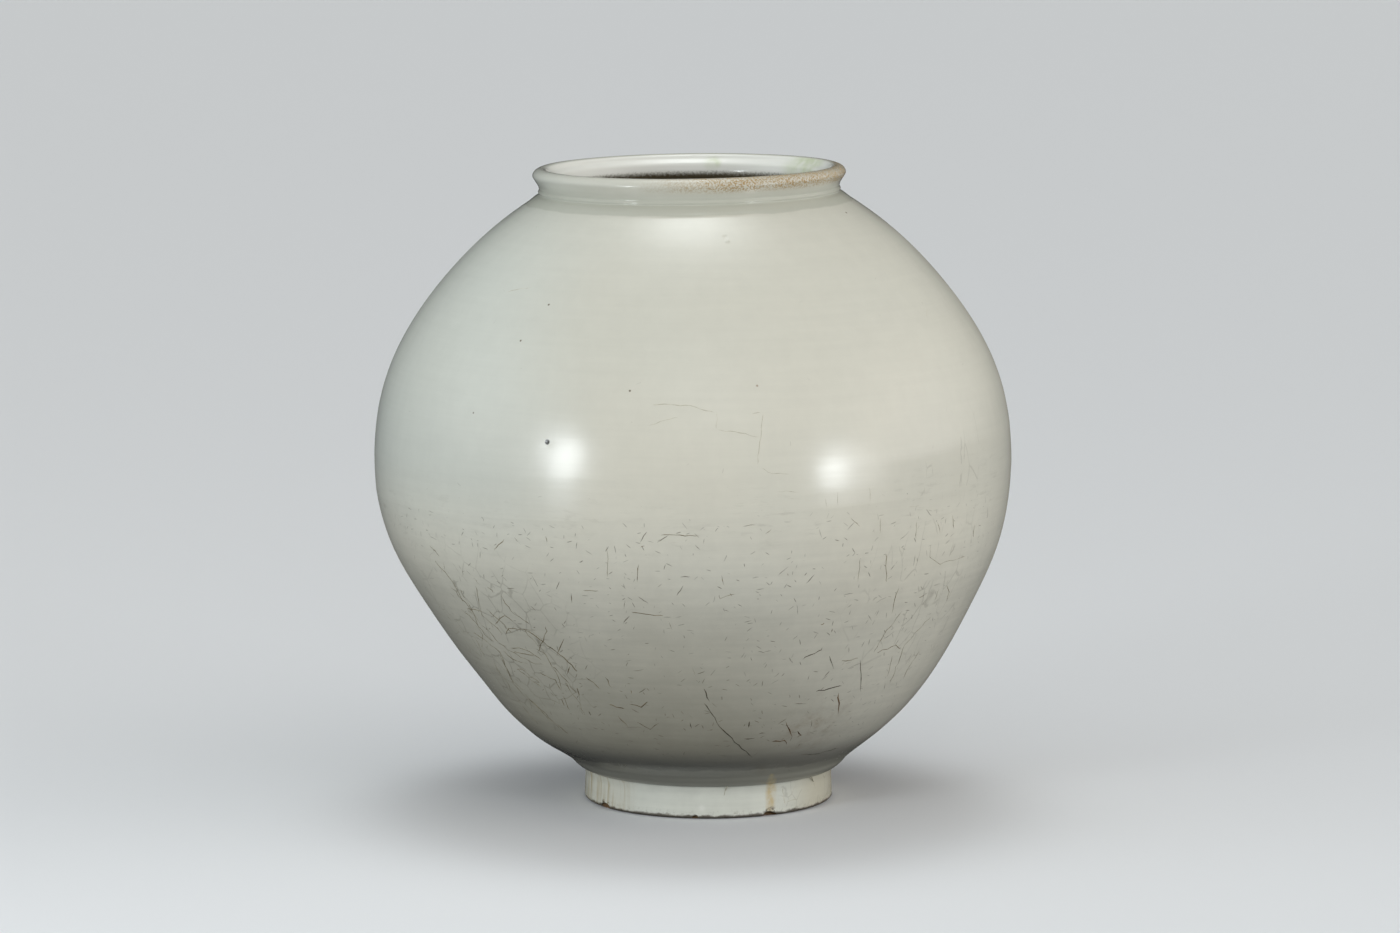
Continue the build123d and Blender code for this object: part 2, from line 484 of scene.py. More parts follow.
def press_pit(piece, pixel, reach, depth, cuts):
    """A small pit in the glaze, or a blister where depth is below none: finer faces, and the middle moved."""
    place, facing = pixel_spot(*pixel)
    open_edit(piece)
    for face in piece.data.polygons:
        close = (face.center - place).length < PIT_SPREAD * reach * MM
        face.select = close and face.normal.dot(facing) > SAME_SIDE
    bpy.context.tool_settings.mesh_select_mode = (False, False, True)
    bpy.ops.object.mode_set(mode="EDIT")
    if cuts:
        bpy.ops.mesh.subdivide(number_cuts=cuts)
    bpy.ops.mesh.select_all(action="DESELECT")
    bpy.context.tool_settings.mesh_select_mode = (True, False, False)
    bpy.ops.object.mode_set(mode="OBJECT")
    outer = [v for v in piece.data.vertices if v.normal.dot(facing) > SAME_SIDE]
    middle = min(outer, key=lambda v: (v.co - place).length)
    middle.select = True
    bpy.ops.object.mode_set(mode="EDIT")
    bpy.ops.transform.translate(
        value=-facing * depth * MM, use_proportional_edit=True, use_proportional_connected=True,
        proportional_edit_falloff="SMOOTH", proportional_size=reach * MM,
    )
    bpy.ops.object.mode_set(mode="OBJECT")


CHIP_ROUGHNESS = 1.6
CHIP_GRAIN = 2.2
RIGHT_CHIP = (769, 815)
LEFT_NOTCH = (606, 806)
FRONT_NICK = (695, 817)
SHOULDER_PIT = (725, 237)
SHOULDER_BUMP = (727, 242)
BELLY_PIT = (547.6, 442)
PIT_SPREAD = 2.6
SAME_SIDE = 0.6

# Chips in the foot's edge: pixel, half its length, depth and height in mm, and how it is turned
CHIPS = (
    (RIGHT_CHIP, 5.0, 2.2, 2.8, 0.3),
    (LEFT_NOTCH, 4.4, 1.7, 1.9, 0.1),
    (FRONT_NICK, 1.8, 1.2, 1.5, 0.0),
)

# Pits in the glaze: pixel, reach and depth in mm, and cuts for finer faces
PITS = (
    (SHOULDER_PIT, 2.3, 0.22, 5),
    (SHOULDER_BUMP, 1.9, -0.4, 0),
    (BELLY_PIT, 1.3, 0.32, 5),
)

# The hole in the middle of a coat's flat map
FOOT_HOLE = 0.7
LOWER_HOLE = 0.28
UPPER_HOLE = 0.2

foot_glaze = coat("foot_glaze", foot_rings, FOOT_HOLE)
lower_glaze = coat("lower_glaze", lower_rings, LOWER_HOLE, uneven=HAND_UNEVEN)
upper_glaze = coat("upper_glaze", upper_rings[::-1], UPPER_HOLE, uneven=HAND_UNEVEN)
inner_glaze = coat("inner_glaze", inner_rings[::-1], outwards=False)
well_glaze = coat("well_glaze", flat_rings(WELL_PROFILE), outwards=False)
foot_body = make_foot_body()
lower_body = make_lower_body()
for chip in CHIPS:
    chip_out((foot_glaze, foot_body), *chip)
for pit in PITS:
    press_pit(upper_glaze, *pit)
for piece in (foot_glaze, lower_glaze, upper_glaze, inner_glaze, well_glaze, foot_body, lower_body):
    soften(piece)

# Laying out shader nodes

# The colour sockets of a mix node, by number because their names repeat
MIX_FACTOR = 0
MIX_UNDER = 6
MIX_OVER = 7
MIX_RESULT = 2


def put(tree, kind, plugs=None, out=0, **settings):
    """Adds a node, sets and links its sockets, and gives one of its outputs."""
    node = tree.nodes.new("ShaderNode" + kind)
    for key, value in settings.items():
        setattr(node, key, value)
    for key, value in (plugs or {}).items():
        plug(tree, node.inputs[key], value)
    return node.outputs[out]


def plug(tree, socket, value):
    """Links a socket to another, or sets its value."""
    if isinstance(value, bpy.types.NodeSocket):
        tree.links.new(value, socket)
    else:
        socket.default_value = value


def sums(tree, operation, a, b=0.0, clamp=False):
    """A step of arithmetic."""
    return put(tree, "Math", {0: a, 1: b}, operation=operation, use_clamp=clamp)


def most(tree, *masks):
    """The strongest of several masks."""
    total = masks[0]
    for mask in masks[1:]:
        total = sums(tree, "MAXIMUM", total, mask)
    return total


def times(tree, *factors):
    """Several values multiplied."""
    total = factors[0]
    for factor in factors[1:]:
        total = sums(tree, "MULTIPLY", total, factor)
    return total


def plus(tree, a, b, clamp=False):
    """Two values added."""
    return sums(tree, "ADD", a, b, clamp)


def swing(tree, value, middle, amount):
    """How far a value is from a middle, times an amount."""
    return times(tree, sums(tree, "SUBTRACT", value, middle), amount)


def arrows(tree, operation, a, b=(0, 0, 0)):
    """A step of vector arithmetic."""
    out = "Value" if operation in ("DOT_PRODUCT", "LENGTH", "DISTANCE") else "Vector"
    return put(tree, "VectorMath", {0: a, 1: b}, out=out, operation=operation)


def longer(tree, vector, factor):
    """A vector times a number."""
    return put(tree, "VectorMath", {0: vector, "Scale": factor}, operation="SCALE")


def drawn(tree, point, stretch):
    """The place, drawn out by a factor for each axis."""
    return arrows(tree, "MULTIPLY", point, stretch)


def parts_of(tree, vector):
    """The X, Y and Z of a vector."""
    node = tree.nodes.new("ShaderNodeSeparateXYZ")
    tree.links.new(vector, node.inputs[0])
    return node.outputs["X"], node.outputs["Y"], node.outputs["Z"]


def between(tree, value, low, high, to_low=0.0, to_high=1.0):
    """A smooth step of a value from one range to another."""
    plugs = {"Value": value, "From Min": low, "From Max": high, "To Min": to_low, "To Max": to_high}
    return put(tree, "MapRange", plugs, interpolation_type="SMOOTHSTEP")


def mixed(tree, factor, a, b):
    """One colour over another."""
    plugs = {MIX_FACTOR: factor, MIX_UNDER: a, MIX_OVER: b}
    return put(tree, "Mix", plugs, out=MIX_RESULT, data_type="RGBA")


def cloudy(tree, point, scale, detail=2.0, rough=0.5, out=0):
    """Soft noise: out 0 is a value, out 1 a colour."""
    plugs = {"Vector": point, "Scale": scale, "Detail": detail, "Roughness": rough}
    return put(tree, "TexNoise", plugs, out=out)


def patchy(tree, point, noise, span):
    """Patches of soft noise: a smooth step between two of its values."""
    return between(tree, cloudy(tree, point, *noise), *span)


def waver(tree, point, scale, detail, amount):
    """A small shift to any side, by soft noise."""
    noise = arrows(tree, "SUBTRACT", cloudy(tree, point, scale, detail, out=1), HALF)
    return longer(tree, noise, amount)


def group(name, ins, outs):
    """A new node group with named sockets."""
    tree = bpy.data.node_groups.new(name, "ShaderNodeTree")
    for side, sockets in (("INPUT", ins), ("OUTPUT", outs)):
        for label, kind in sockets.items():
            tree.interface.new_socket(name=label, in_out=side, socket_type="NodeSocket" + kind)
    return tree, tree.nodes.new("NodeGroupInput").outputs, tree.nodes.new("NodeGroupOutput").inputs


def use(tree, shared, out=0, **plugs):
    """Places a shared group: socket names are written with underscores."""
    node = tree.nodes.new("ShaderNodeGroup")
    node.node_tree = shared
    for key, value in plugs.items():
        plug(tree, node.inputs[key.replace("_", " ")], value)
    return node.outputs[out]


# Shared effects

HALF = (0.5, 0.5, 0.5)
LINE_SOFTNESS = 0.6
SHORTEST_DASH = 0.45
SMALLEST_SPECK = 0.3
SPECK_SHARPNESS = 1.6
BROKEN_NOISE = (52.0, 1.0)
BROKEN_EDGE = 0.07
GRIT_ROUGHNESS = (3.0, 0.7)
GRIT_START = 0.72
GRIT_REACH = 0.36
GRIT_EDGE = 0.1


def make_hairline():
    """A tapering line on the surface: middle, the way across it, half its length and half its width."""
    ins = {"Point": "Vector", "Middle": "Vector", "Across": "Vector"}
    ins.update({"Half Length": "Float", "Half Width": "Float"})
    tree, take, give = group("hairline", ins, {"Mask": "Float"})
    away = arrows(tree, "SUBTRACT", take["Point"], take["Middle"])
    side = sums(tree, "ABSOLUTE", arrows(tree, "DOT_PRODUCT", away, take["Across"]))
    far = sums(tree, "DIVIDE", arrows(tree, "LENGTH", away), take["Half Length"])
    taper = sums(tree, "SQRT", sums(tree, "SUBTRACT", 1.0, times(tree, far, far), clamp=True))
    room = sums(tree, "SUBTRACT", times(tree, take["Half Width"], taper), side)
    edge = times(tree, take["Half Width"], LINE_SOFTNESS)
    tree.links.new(sums(tree, "DIVIDE", room, edge, clamp=True), give["Mask"])
    return tree


def strewn(tree, take):
    """Cells strewn over a surface, and a chance for each."""
    cell = tree.nodes.new("ShaderNodeTexVoronoi")
    tree.links.new(take["Point"], cell.inputs["Vector"])
    tree.links.new(take["Cells"], cell.inputs["Scale"])
    return cell.outputs, put(tree, "TexWhiteNoise", {"Vector": cell.outputs["Position"]})


def make_dashes():
    """Short scratches strewn over a surface, a share of the cells, leaning one way."""
    ins = {"Point": "Vector", "Facing": "Vector", "Lean": "Vector", "Cells": "Float"}
    ins.update({"Half Length": "Float", "Half Width": "Float", "Share": "Float"})
    tree, take, give = group("dashes", ins, {"Mask": "Float"})
    cell, chance = strewn(tree, take)
    along = arrows(tree, "ADD", arrows(tree, "SUBTRACT", cell["Color"], HALF), take["Lean"])
    across = arrows(tree, "NORMALIZE", arrows(tree, "CROSS_PRODUCT", take["Facing"], along))
    length = times(tree, take["Half Length"], plus(tree, SHORTEST_DASH, chance))
    line = use(tree, hairline, Point=take["Point"], Middle=cell["Position"], Across=across,
               Half_Length=length, Half_Width=take["Half Width"])
    picked = sums(tree, "LESS_THAN", chance, take["Share"])
    tree.links.new(times(tree, line, picked), give["Mask"])
    return tree


def make_crackle():
    """A net of fine cracks, stretched one way and broken up."""
    ins = {"Point": "Vector", "Stretch": "Vector", "Cells": "Float", "Width": "Float", "Broken": "Float"}
    tree, take, give = group("crackle", ins, {"Mask": "Float"})
    plugs = {"Vector": drawn(tree, take["Point"], take["Stretch"]), "Scale": take["Cells"]}
    cell = put(tree, "TexVoronoi", plugs, feature="DISTANCE_TO_EDGE")
    wide = times(tree, take["Cells"], take["Width"])
    line = sums(tree, "SUBTRACT", 1.0, sums(tree, "DIVIDE", cell, wide), clamp=True)
    whole = cloudy(tree, take["Point"], *BROKEN_NOISE)
    kept = between(tree, whole, take["Broken"], plus(tree, take["Broken"], BROKEN_EDGE))
    tree.links.new(times(tree, line, kept), give["Mask"])
    return tree


def make_specks():
    """Small dark spots of different sizes."""
    ins = {"Point": "Vector", "Cells": "Float", "Size": "Float", "Share": "Float"}
    tree, take, give = group("specks", ins, {"Mask": "Float"})
    cell, chance = strewn(tree, take)
    away = sums(tree, "DIVIDE", cell["Distance"], take["Cells"])
    size = times(tree, take["Size"], plus(tree, SMALLEST_SPECK, chance))
    far = times(tree, SPECK_SHARPNESS, sums(tree, "DIVIDE", away, size))
    spot = sums(tree, "SUBTRACT", SPECK_SHARPNESS, far, clamp=True)
    picked = sums(tree, "LESS_THAN", chance, take["Share"])
    tree.links.new(times(tree, spot, picked), give["Mask"])
    return tree


def make_near():
    """One near a place, fading to none at a distance."""
    ins = {"Point": "Vector", "Place": "Vector", "Reach": "Float", "Core": "Float"}
    tree, take, give = group("near", ins, {"Mask": "Float"})
    away = sums(tree, "DIVIDE", arrows(tree, "DISTANCE", take["Point"], take["Place"]), take["Reach"])
    tree.links.new(between(tree, away, take["Core"], 1.0, 1.0, 0.0), give["Mask"])
    return tree


def make_band():
    """One along a plane, fading to none on either side of it."""
    ins = {"Point": "Vector", "Through": "Vector", "Facing": "Vector", "Reach": "Float"}
    tree, take, give = group("band", ins, {"Mask": "Float"})
    away = arrows(tree, "SUBTRACT", take["Point"], take["Through"])
    far = sums(tree, "ABSOLUTE", arrows(tree, "DOT_PRODUCT", away, take["Facing"]))
    tree.links.new(between(tree, sums(tree, "DIVIDE", far, take["Reach"]), 0.0, 1.0, 1.0, 0.0), give["Mask"])
    return tree


def make_grit():
    """Fine grains, as where glaze is thin over rough clay."""
    ins = {"Point": "Vector", "Grains": "Float", "Amount": "Float"}
    tree, take, give = group("grit", ins, {"Mask": "Float"})
    fine = cloudy(tree, take["Point"], take["Grains"], *GRIT_ROUGHNESS)
    low = sums(tree, "SUBTRACT", GRIT_START, times(tree, take["Amount"], GRIT_REACH))
    tree.links.new(between(tree, fine, low, plus(tree, low, GRIT_EDGE)), give["Mask"])
    return tree


def make_fired_white():
    """The white of the glaze: a warm white, a painted bluish reflection on the left, painted shade on the
    shoulder and upper right, a greyer lower half that is partly painted shade, painted shade above the heel,
    turning lines and mottling.
    """
    outs = {"Color": "Color", "Rough": "Float", "Height": "Float"}
    tree, take, give = group("fired_white", {"Point": "Vector"}, outs)
    point = take["Point"]
    x, _, z = parts_of(tree, point)
    # Painted reflection: the left of the belly is tinted bluish, as a softbox's reflection would tint it,
    # plus random bluish patches
    cool_reflection = times(tree, between(tree, x, *REFLECTION_LEFT_ZONE), between(tree, z, *REFLECTION_BELLY_ZONE), COOL_REFLECTION_LEFT)
    cool_reflection = plus(tree, cool_reflection, swing(tree, cloudy(tree, point, *COOL_CLOUDS), *COOL_SWING), clamp=True)
    # Painted shade: the shoulder and the upper right side are painted a darker white, to tone down the light
    # that falls there
    right = times(tree, between(tree, x, *RIGHT_SHADE_ZONE), between(tree, z, *RIGHT_SHADE_BELLY), RIGHT_CROWN_SHADE)
    crown_shade = most(tree, between(tree, z, *CROWN_SHADE_ZONE), right)
    white = mixed(tree, crown_shade, WARM_WHITE, CROWN_SHADE_WHITE)
    white = mixed(tree, cool_reflection, white, COOL_REFLECTION_WHITE)
    # Partly greyer glaze and partly painted shade: the lower half turns greyer and darker towards the foot
    wander = swing(tree, cloudy(tree, point, *GREY_CLOUDS), *GREY_SWING)
    grey_and_shade = between(tree, plus(tree, z, wander), *GREY_AND_SHADE_ZONE)
    # Painted light: the lower right side is kept lighter, where light from the right falls on it
    white = mixed(tree, times(tree, grey_and_shade, between(tree, x, *RIGHT_LIT_ZONE)), white, LOWER_GREY_AND_SHADE)
    shade = times(tree, between(tree, z, *HEEL_ZONE), between(tree, x, *HEEL_RIGHT))
    white = mixed(tree, shade, white, HEEL_SHADE)
    white = mixed(tree, between(tree, z, *FOOT_ZONE), white, FOOT_WHITE)
    streak = cloudy(tree, drawn(tree, point, TURNING_LINES), *TURNING_NOISE)
    brushed = cloudy(tree, drawn(tree, point, BRUSH_LINES), *BRUSH_NOISE)
    lively = between(tree, z, *LIVELY_ZONE)
    tone = swing(tree, plus(tree, streak, cloudy(tree, point, *MOTTLE_NOISE)), 1.0, lively)
    tone = plus(tree, plus(tree, tone, swing(tree, brushed, *BRUSH_SWING)), 1.0)
    tree.links.new(longer(tree, white, tone), give["Color"])
    rough = plus(tree, GLAZE_ROUGH, swing(tree, cloudy(tree, point, *ROUGH_CLOUDS), *ROUGH_SWING))
    tree.links.new(times(tree, rough, between(tree, z, *GLOSSY_NECK)), give["Rough"])
    peel = times(tree, cloudy(tree, point, *PEEL_NOISE), PEEL_HEIGHT)
    soft = times(tree, cloudy(tree, point, *WAVE_NOISE), WAVE_HEIGHT)
    height = plus(tree, plus(tree, peel, soft), times(tree, streak, TURNING_HEIGHT))
    tree.links.new(height, give["Height"])
    return tree


# Zones of the white glaze, in metres: from, to, and the strengths there if they aren't none and full
REFLECTION_LEFT_ZONE = (-0.055, -0.15)
REFLECTION_BELLY_ZONE = (0.17, 0.24)
RIGHT_SHADE_ZONE = (0.07, 0.15)
RIGHT_SHADE_BELLY = (0.19, 0.235)
CROWN_SHADE_ZONE = (0.225, 0.33)
GREY_AND_SHADE_ZONE = (0.2, 0.03)
# Painted light: the span over which the lower right side is kept lighter
RIGHT_LIT_ZONE = (0.0, 0.11, 1.0, 0.1)
HEEL_ZONE = (0.057, 0.037, 0.0, 0.92)
HEEL_RIGHT = (0.0, 0.07, 1.0, 0.78)
FOOT_ZONE = (0.0217, 0.0213)
LIVELY_ZONE = (0.23, 0.15, 0.07, 0.17)
GLOSSY_NECK = (0.36, 0.39, 1.0, 0.36)
COOL_REFLECTION_LEFT = 0.75
RIGHT_CROWN_SHADE = 0.9

# Soft noise in it: scale, detail and roughness. A swing is a middle and an amount, lines are stretched noise
COOL_CLOUDS = (5.0, 2.0)
COOL_SWING = (0.42, 0.9)
GREY_CLOUDS = (16.0, 3.0)
GREY_SWING = (0.5, 0.05)
TURNING_LINES = (14.0, 14.0, 290.0)
TURNING_NOISE = (1.0, 3.0, 0.6)
TURNING_HEIGHT = 0.25
BRUSH_LINES = (90.0, 90.0, 6.0)
BRUSH_NOISE = (1.0, 2.0, 0.6)
BRUSH_SWING = (0.5, 0.04)
MOTTLE_NOISE = (85.0, 4.0, 0.65)
GLAZE_ROUGH = 0.2
ROUGH_CLOUDS = (22.0, 3.0)
ROUGH_SWING = (0.45, 0.14)
PEEL_NOISE = (260.0, 2.0)
PEEL_HEIGHT = 0.05
WAVE_NOISE = (34.0, 1.0)
WAVE_HEIGHT = 0.55

# Colours
WARM_WHITE = (0.672, 0.648, 0.556, 1)
# Painted shade: the darker white of the shoulder and the upper right side
CROWN_SHADE_WHITE = (0.600, 0.586, 0.510, 1)
# Painted reflection: the bluish white of a softbox's reflection on the left
COOL_REFLECTION_WHITE = (0.585, 0.606, 0.556, 1)
# Greyer glaze of the lower half, darkened further as painted shade
LOWER_GREY_AND_SHADE = (0.370, 0.350, 0.280, 1)
FOOT_WHITE = (0.615, 0.622, 0.555, 1)
HEEL_SHADE = (0.175, 0.174, 0.155, 1)
# Grey of the heel band, partly painted shade
HEEL_GREY_AND_SHADE = (0.340, 0.336, 0.285, 1)
# Dark brown of the stained inside, also used as painted shade there
INNER_BROWN_AND_SHADE = (0.13, 0.108, 0.066, 1)
POOL_GREEN = (0.660, 0.715, 0.520, 1)
# Painted shadow and reflection: the darker green under the lip
COLLAR_SHADE_GREEN = (0.430, 0.440, 0.372, 1)
LIP_OCHRE = (0.37, 0.245, 0.098, 1)
# Painted light: the brighter white inside the rim
THROAT_LIT_WHITE = (0.880, 0.885, 0.830, 1)
FOOT_STAIN = (0.42, 0.35, 0.22, 1)
DRIP_OCHRE = (0.53, 0.43, 0.25, 1)
# Near black of the foot's bottom edge, partly painted shadow, and of the chips
EDGE_BROWN = (0.052, 0.036, 0.022, 1)
SMEAR_WHITE = (0.74, 0.74, 0.68, 1)
CLAY_BUFF = (0.36, 0.29, 0.20, 1)
CLAY_BROWN = (0.20, 0.145, 0.09, 1)
CRACK_BROWN = (0.085, 0.066, 0.036, 1)
RUST_BROWN = (0.20, 0.105, 0.035, 1)
CHIP_BROWN = (0.12, 0.068, 0.030, 1)
SPECK_BROWN = (0.10, 0.075, 0.04, 1)
PIT_BLACK = (0.02, 0.018, 0.012, 1)

# Patches in the photograph: its pixel, reach in mm and share of the reach that is full
LEFT_NET = ((500, 640), 88, 0.3)
RIGHT_NET = ((925, 600), 84, 0.25)
RIGHT_SEAM = ((960, 480), 62, 0.2)
RUST_STAIN = ((815, 725), 40, 0.1)
PALE_SMEAR = ((702, 808), 3.2, 0.2)
ORANGE_SPOT = ((757, 386), 1.2, 0.3)
DARK_PIT = (BELLY_PIT, 2.1, 0.6)
DARK_SPECK = (1.1, 0.35)
POOL_CORE = 0.2
CHIP_CORE = 0.6

# Places in the photograph, in its pixels, some with a reach in mm
DRIP_MIDDLE = (771, 790)
DARK_SPECKS = ((831, 196), (846, 213), (549, 305), (521, 341), (474, 413), (630, 391))
GREEN_POOLS = (((712, 163), 8), ((806, 166), 27), ((543, 171), 4))
FOOT_CHIPS = ((RIGHT_CHIP, 7.0), (LEFT_NOTCH, 6.0), (FRONT_NICK, 2.4))

hairline = make_hairline()
dashes = make_dashes()
crackle = make_crackle()
specks = make_specks()
near = make_near()
band = make_band()
grit = make_grit()
fired_white = make_fired_white()

# Cracks and scratches that the photograph shows, as runs of its pixels

LOWER_LEFT_CRACKS = [
    [(501, 594), (505, 604), (515, 614), (531, 625)], [(522, 627), (540, 640), (560, 654), (579, 673)],
    [(545, 626), (547, 631), (537, 654)], [(564, 637), (556, 658)], [(570, 665), (567, 675)],
    [(585, 676), (601, 690)], [(605, 677), (612, 688)], [(576, 686), (580, 698)],
    [(560, 697), (566, 708)], [(607, 704), (626, 709)], [(627, 704), (641, 707), (649, 700)],
    [(630, 687), (632, 697)], [(617, 716), (629, 728)], [(636, 721), (650, 729), (660, 722)],
]
LOWER_LEFT_NET = [
    [(459, 587), (472, 610), (482, 635), (481, 652)], [(475, 585), (482, 615), (505, 635)],
    [(486, 584), (494, 594)], [(466, 607), (482, 625), (507, 650), (535, 664), (546, 665)],
    [(470, 630), (500, 652), (515, 687)], [(514, 670), (522, 669), (541, 684)],
    [(522, 627), (545, 655), (560, 680), (563, 692)], [(510, 652), (537, 655)],
    [(432, 557), (452, 580), (465, 605)], [(522, 692), (550, 720), (570, 735)],
    [(500, 655), (510, 677), (525, 692)], [(564, 680), (580, 705), (585, 717)],
    [(505, 635), (509, 629), (540, 630)],
]
LOWER_LEFT_FINE = [
    [(428, 543), (441, 559)], [(462, 568), (464, 576)], [(449, 584), (462, 599), (478, 618)],
    [(474, 576), (480, 586)], [(457, 607), (470, 615), (485, 634), (497, 645)],
    [(464, 607), (485, 613)], [(474, 634), (481, 649), (485, 659)],
    [(485, 607), (501, 622), (514, 634)], [(493, 626), (505, 615), (516, 624)],
    [(501, 649), (516, 661), (531, 665)], [(508, 647), (524, 649), (543, 661)],
    [(516, 668), (531, 680), (543, 688)], [(539, 672), (555, 680), (562, 691)],
    [(551, 665), (562, 676), (578, 695)], [(505, 665), (514, 684), (524, 695)],
    [(555, 699), (553, 707)], [(493, 661), (505, 680), (520, 703), (539, 726)],
    [(524, 695), (539, 707), (562, 730)], [(562, 695), (570, 711)], [(443, 561), (445, 572)],
    [(493, 551), (505, 538)], [(545, 534), (547, 545)], [(514, 537), (518, 543)],
]
LOWER_MIDDLE_CRACKS = [
    [(639, 564), (637, 583)], [(625, 600), (624, 610)], [(571, 592), (572, 604)],
    [(669, 621), (672, 630)], [(722, 574), (724, 586)], [(787, 572), (789, 577)],
    [(819, 625), (826, 622)], [(834, 625), (831, 636)], [(742, 526), (756, 525)],
    [(765, 534), (772, 529)], [(640, 547), (645, 546)], [(756, 599), (760, 598)],
]
LOWER_MIDDLE_FAINT = [
    [(630, 612), (665, 616)], [(582, 590), (600, 591)], [(719, 594), (720, 598), (736, 594)],
    [(691, 666), (696, 677)], [(607, 545), (608, 578)], [(660, 535), (700, 536)],
]
LONG_SCRATCHES = [
    [(704, 702), (720, 726), (735, 742), (753, 758)], [(801, 660), (824, 649)],
    [(829, 655), (834, 670)], [(814, 692), (844, 685)], [(861, 659), (861, 694)],
    [(799, 754), (815, 754), (840, 748)], [(587, 709), (592, 718)], [(703, 688), (710, 702)],
    [(750, 720), (748, 729)], [(743, 739), (757, 738)], [(757, 734), (767, 733)],
    [(812, 719), (810, 729)], [(847, 713), (853, 710)], [(690, 721), (692, 730)],
    [(653, 748), (660, 750)],
]
LOWER_RIGHT_NET = [
    [(902, 610), (884, 635), (873, 655)], [(874, 654), (896, 645), (901, 650)],
    [(892, 655), (887, 677)], [(840, 661), (862, 658)], [(886, 552), (887, 585)],
    [(860, 557), (858, 583)], [(900, 584), (891, 615)],
    [(931, 542), (930, 557), (940, 564), (967, 555)], [(946, 582), (949, 592), (945, 605)],
    [(917, 599), (930, 591)], [(932, 615), (905, 645), (889, 685)], [(920, 650), (902, 680)],
    [(880, 517), (880, 535)], [(917, 520), (916, 540)], [(937, 520), (940, 535)],
    [(953, 512), (954, 530)], [(974, 520), (974, 542)], [(850, 517), (860, 527)],
    [(940, 587), (934, 602)],
]
FOOT_CRACKS = [
    [(783, 788), (784, 797), (786, 806)], [(796, 785), (792, 793), (789, 801)],
    [(784, 804), (792, 800), (800, 799)], [(812, 776), (815, 788)], [(727, 786), (724, 796)],
    [(592, 780), (593, 795)], [(603, 783), (602, 800)],
]
RUST_MARKS = [
    [(838, 692), (839, 703), (838, 715)], [(771, 742), (785, 740), (787, 745)],
    [(786, 720), (789, 730), (793, 738)], [(797, 731), (801, 735), (797, 738)],
]
UPPER_CRACKS = [
    [(650, 404), (690, 406), (716, 413)], [(717, 409), (716, 431)],
    [(716, 430), (735, 432), (761, 437)], [(763, 412), (761, 437), (757, 466)],
    [(749, 414), (762, 412)], [(761, 467), (772, 474), (790, 474)],
    [(647, 426), (660, 422), (680, 417)], [(507, 292), (532, 287)], [(926, 304), (928, 320)],
]
SEAM_CRACKS = [
    [(777, 491), (800, 492)], [(787, 499), (802, 499)], [(826, 497), (827, 509)],
    [(837, 490), (838, 507)], [(870, 487), (870, 504)], [(905, 508), (922, 505)],
]


def new_material(name):
    """A material, its tree, its shader, the place on the piece and the way that it faces."""
    material = bpy.data.materials.new(name)
    material.use_nodes = True
    tree = material.node_tree
    shader = tree.nodes["Principled BSDF"]
    point = put(tree, "TexCoord", out="Object")
    facing = put(tree, "NewGeometry", out="Normal")
    return material, tree, shader, point, facing


# How lines waver: scale and detail of the noise, and the shift in metres
WIDE_WAVER = (60.0, 2.0, 0.0042)
FINE_WAVER = (420.0, 1.0, 0.0005)
DRIP_WAVER = (90.0, 2.0, 0.003)

# The glaze's gloss
GLAZE_IOR = 1.5
GLAZE_SHEEN = 0.36
LINE_ROUGH = 0.25

# Spots, scratches, nets and runs: cells or grains to the metre, sizes in metres, and the share of cells taken
SEAM_SPECKS = dict(Cells=210.0, Size=0.0009, Share=0.28)
SMALL_SPOTS = dict(Cells=95.0, Size=0.00055, Share=0.3)
LARGE_SPOTS = dict(Cells=34.0, Size=0.0008, Share=0.22)
COARSE_DASHES = dict(Lean=(0, 0, 0.1), Cells=66.0, Half_Length=0.0048, Half_Width=0.00042, Share=0.62)
FINE_DASHES = dict(Lean=(0, 0, 0), Cells=165.0, Half_Length=0.0022, Half_Width=0.00034, Share=0.75)
FEW_DASHES = dict(Lean=(0, 0, 0), Cells=70.0, Half_Length=0.0035, Half_Width=0.00026, Share=0.16)
SLANT_NET = dict(Stretch=(0.9, 1.0, 0.72), Cells=78.0, Width=0.00042, Broken=0.42)
UPRIGHT_NET = dict(Stretch=(1.0, 1.0, 0.3), Cells=84.0, Width=0.0004, Broken=0.47)
SEAM_NET = dict(Stretch=(1.0, 1.0, 0.3), Cells=70.0, Width=0.0003, Broken=0.52)
FOOT_NET = dict(Stretch=(1.0, 1.0, 0.6), Cells=105.0, Width=0.0003, Broken=0.44)
LIP_GRIT = dict(Grains=900.0, Amount=0.72)
FOOT_GRIT = dict(Grains=480.0, Amount=0.5)
DRIP_RUN = dict(Across=(1, 0, 0), Half_Length=0.02, Half_Width=0.0042)
SEAM_DIRT = dict(Through=(-0.01, 0, 0.208), Facing=SEAM_FACING, Reach=0.034)

# How strong each mark is
SEAM_SPECK_SHARE = 0.75
SMEAR_SHARE = 0.15
SMALL_SPOT_SHARE = 0.5
LARGE_SPOT_SHARE = 0.62
COARSE_SHARE = 0.8
FINE_SHARE = 0.75
FEW_SHARE = 0.3
LEFT_NET_SHARE = 0.6
RIGHT_NET_SHARE = 0.36
FOOT_NET_SHARE = 0.24
COLLAR_SHADE_SHARE = 0.55
ORANGE_SHARE = 0.7
SOILED_SHARE = 0.55
EDGE_SHARE = 0.85
CHIPPED_SHARE = 0.8
PALE_SHARE = 0.5
WORN_LEAST = 0.12
WORN_GRAINS = 0.88

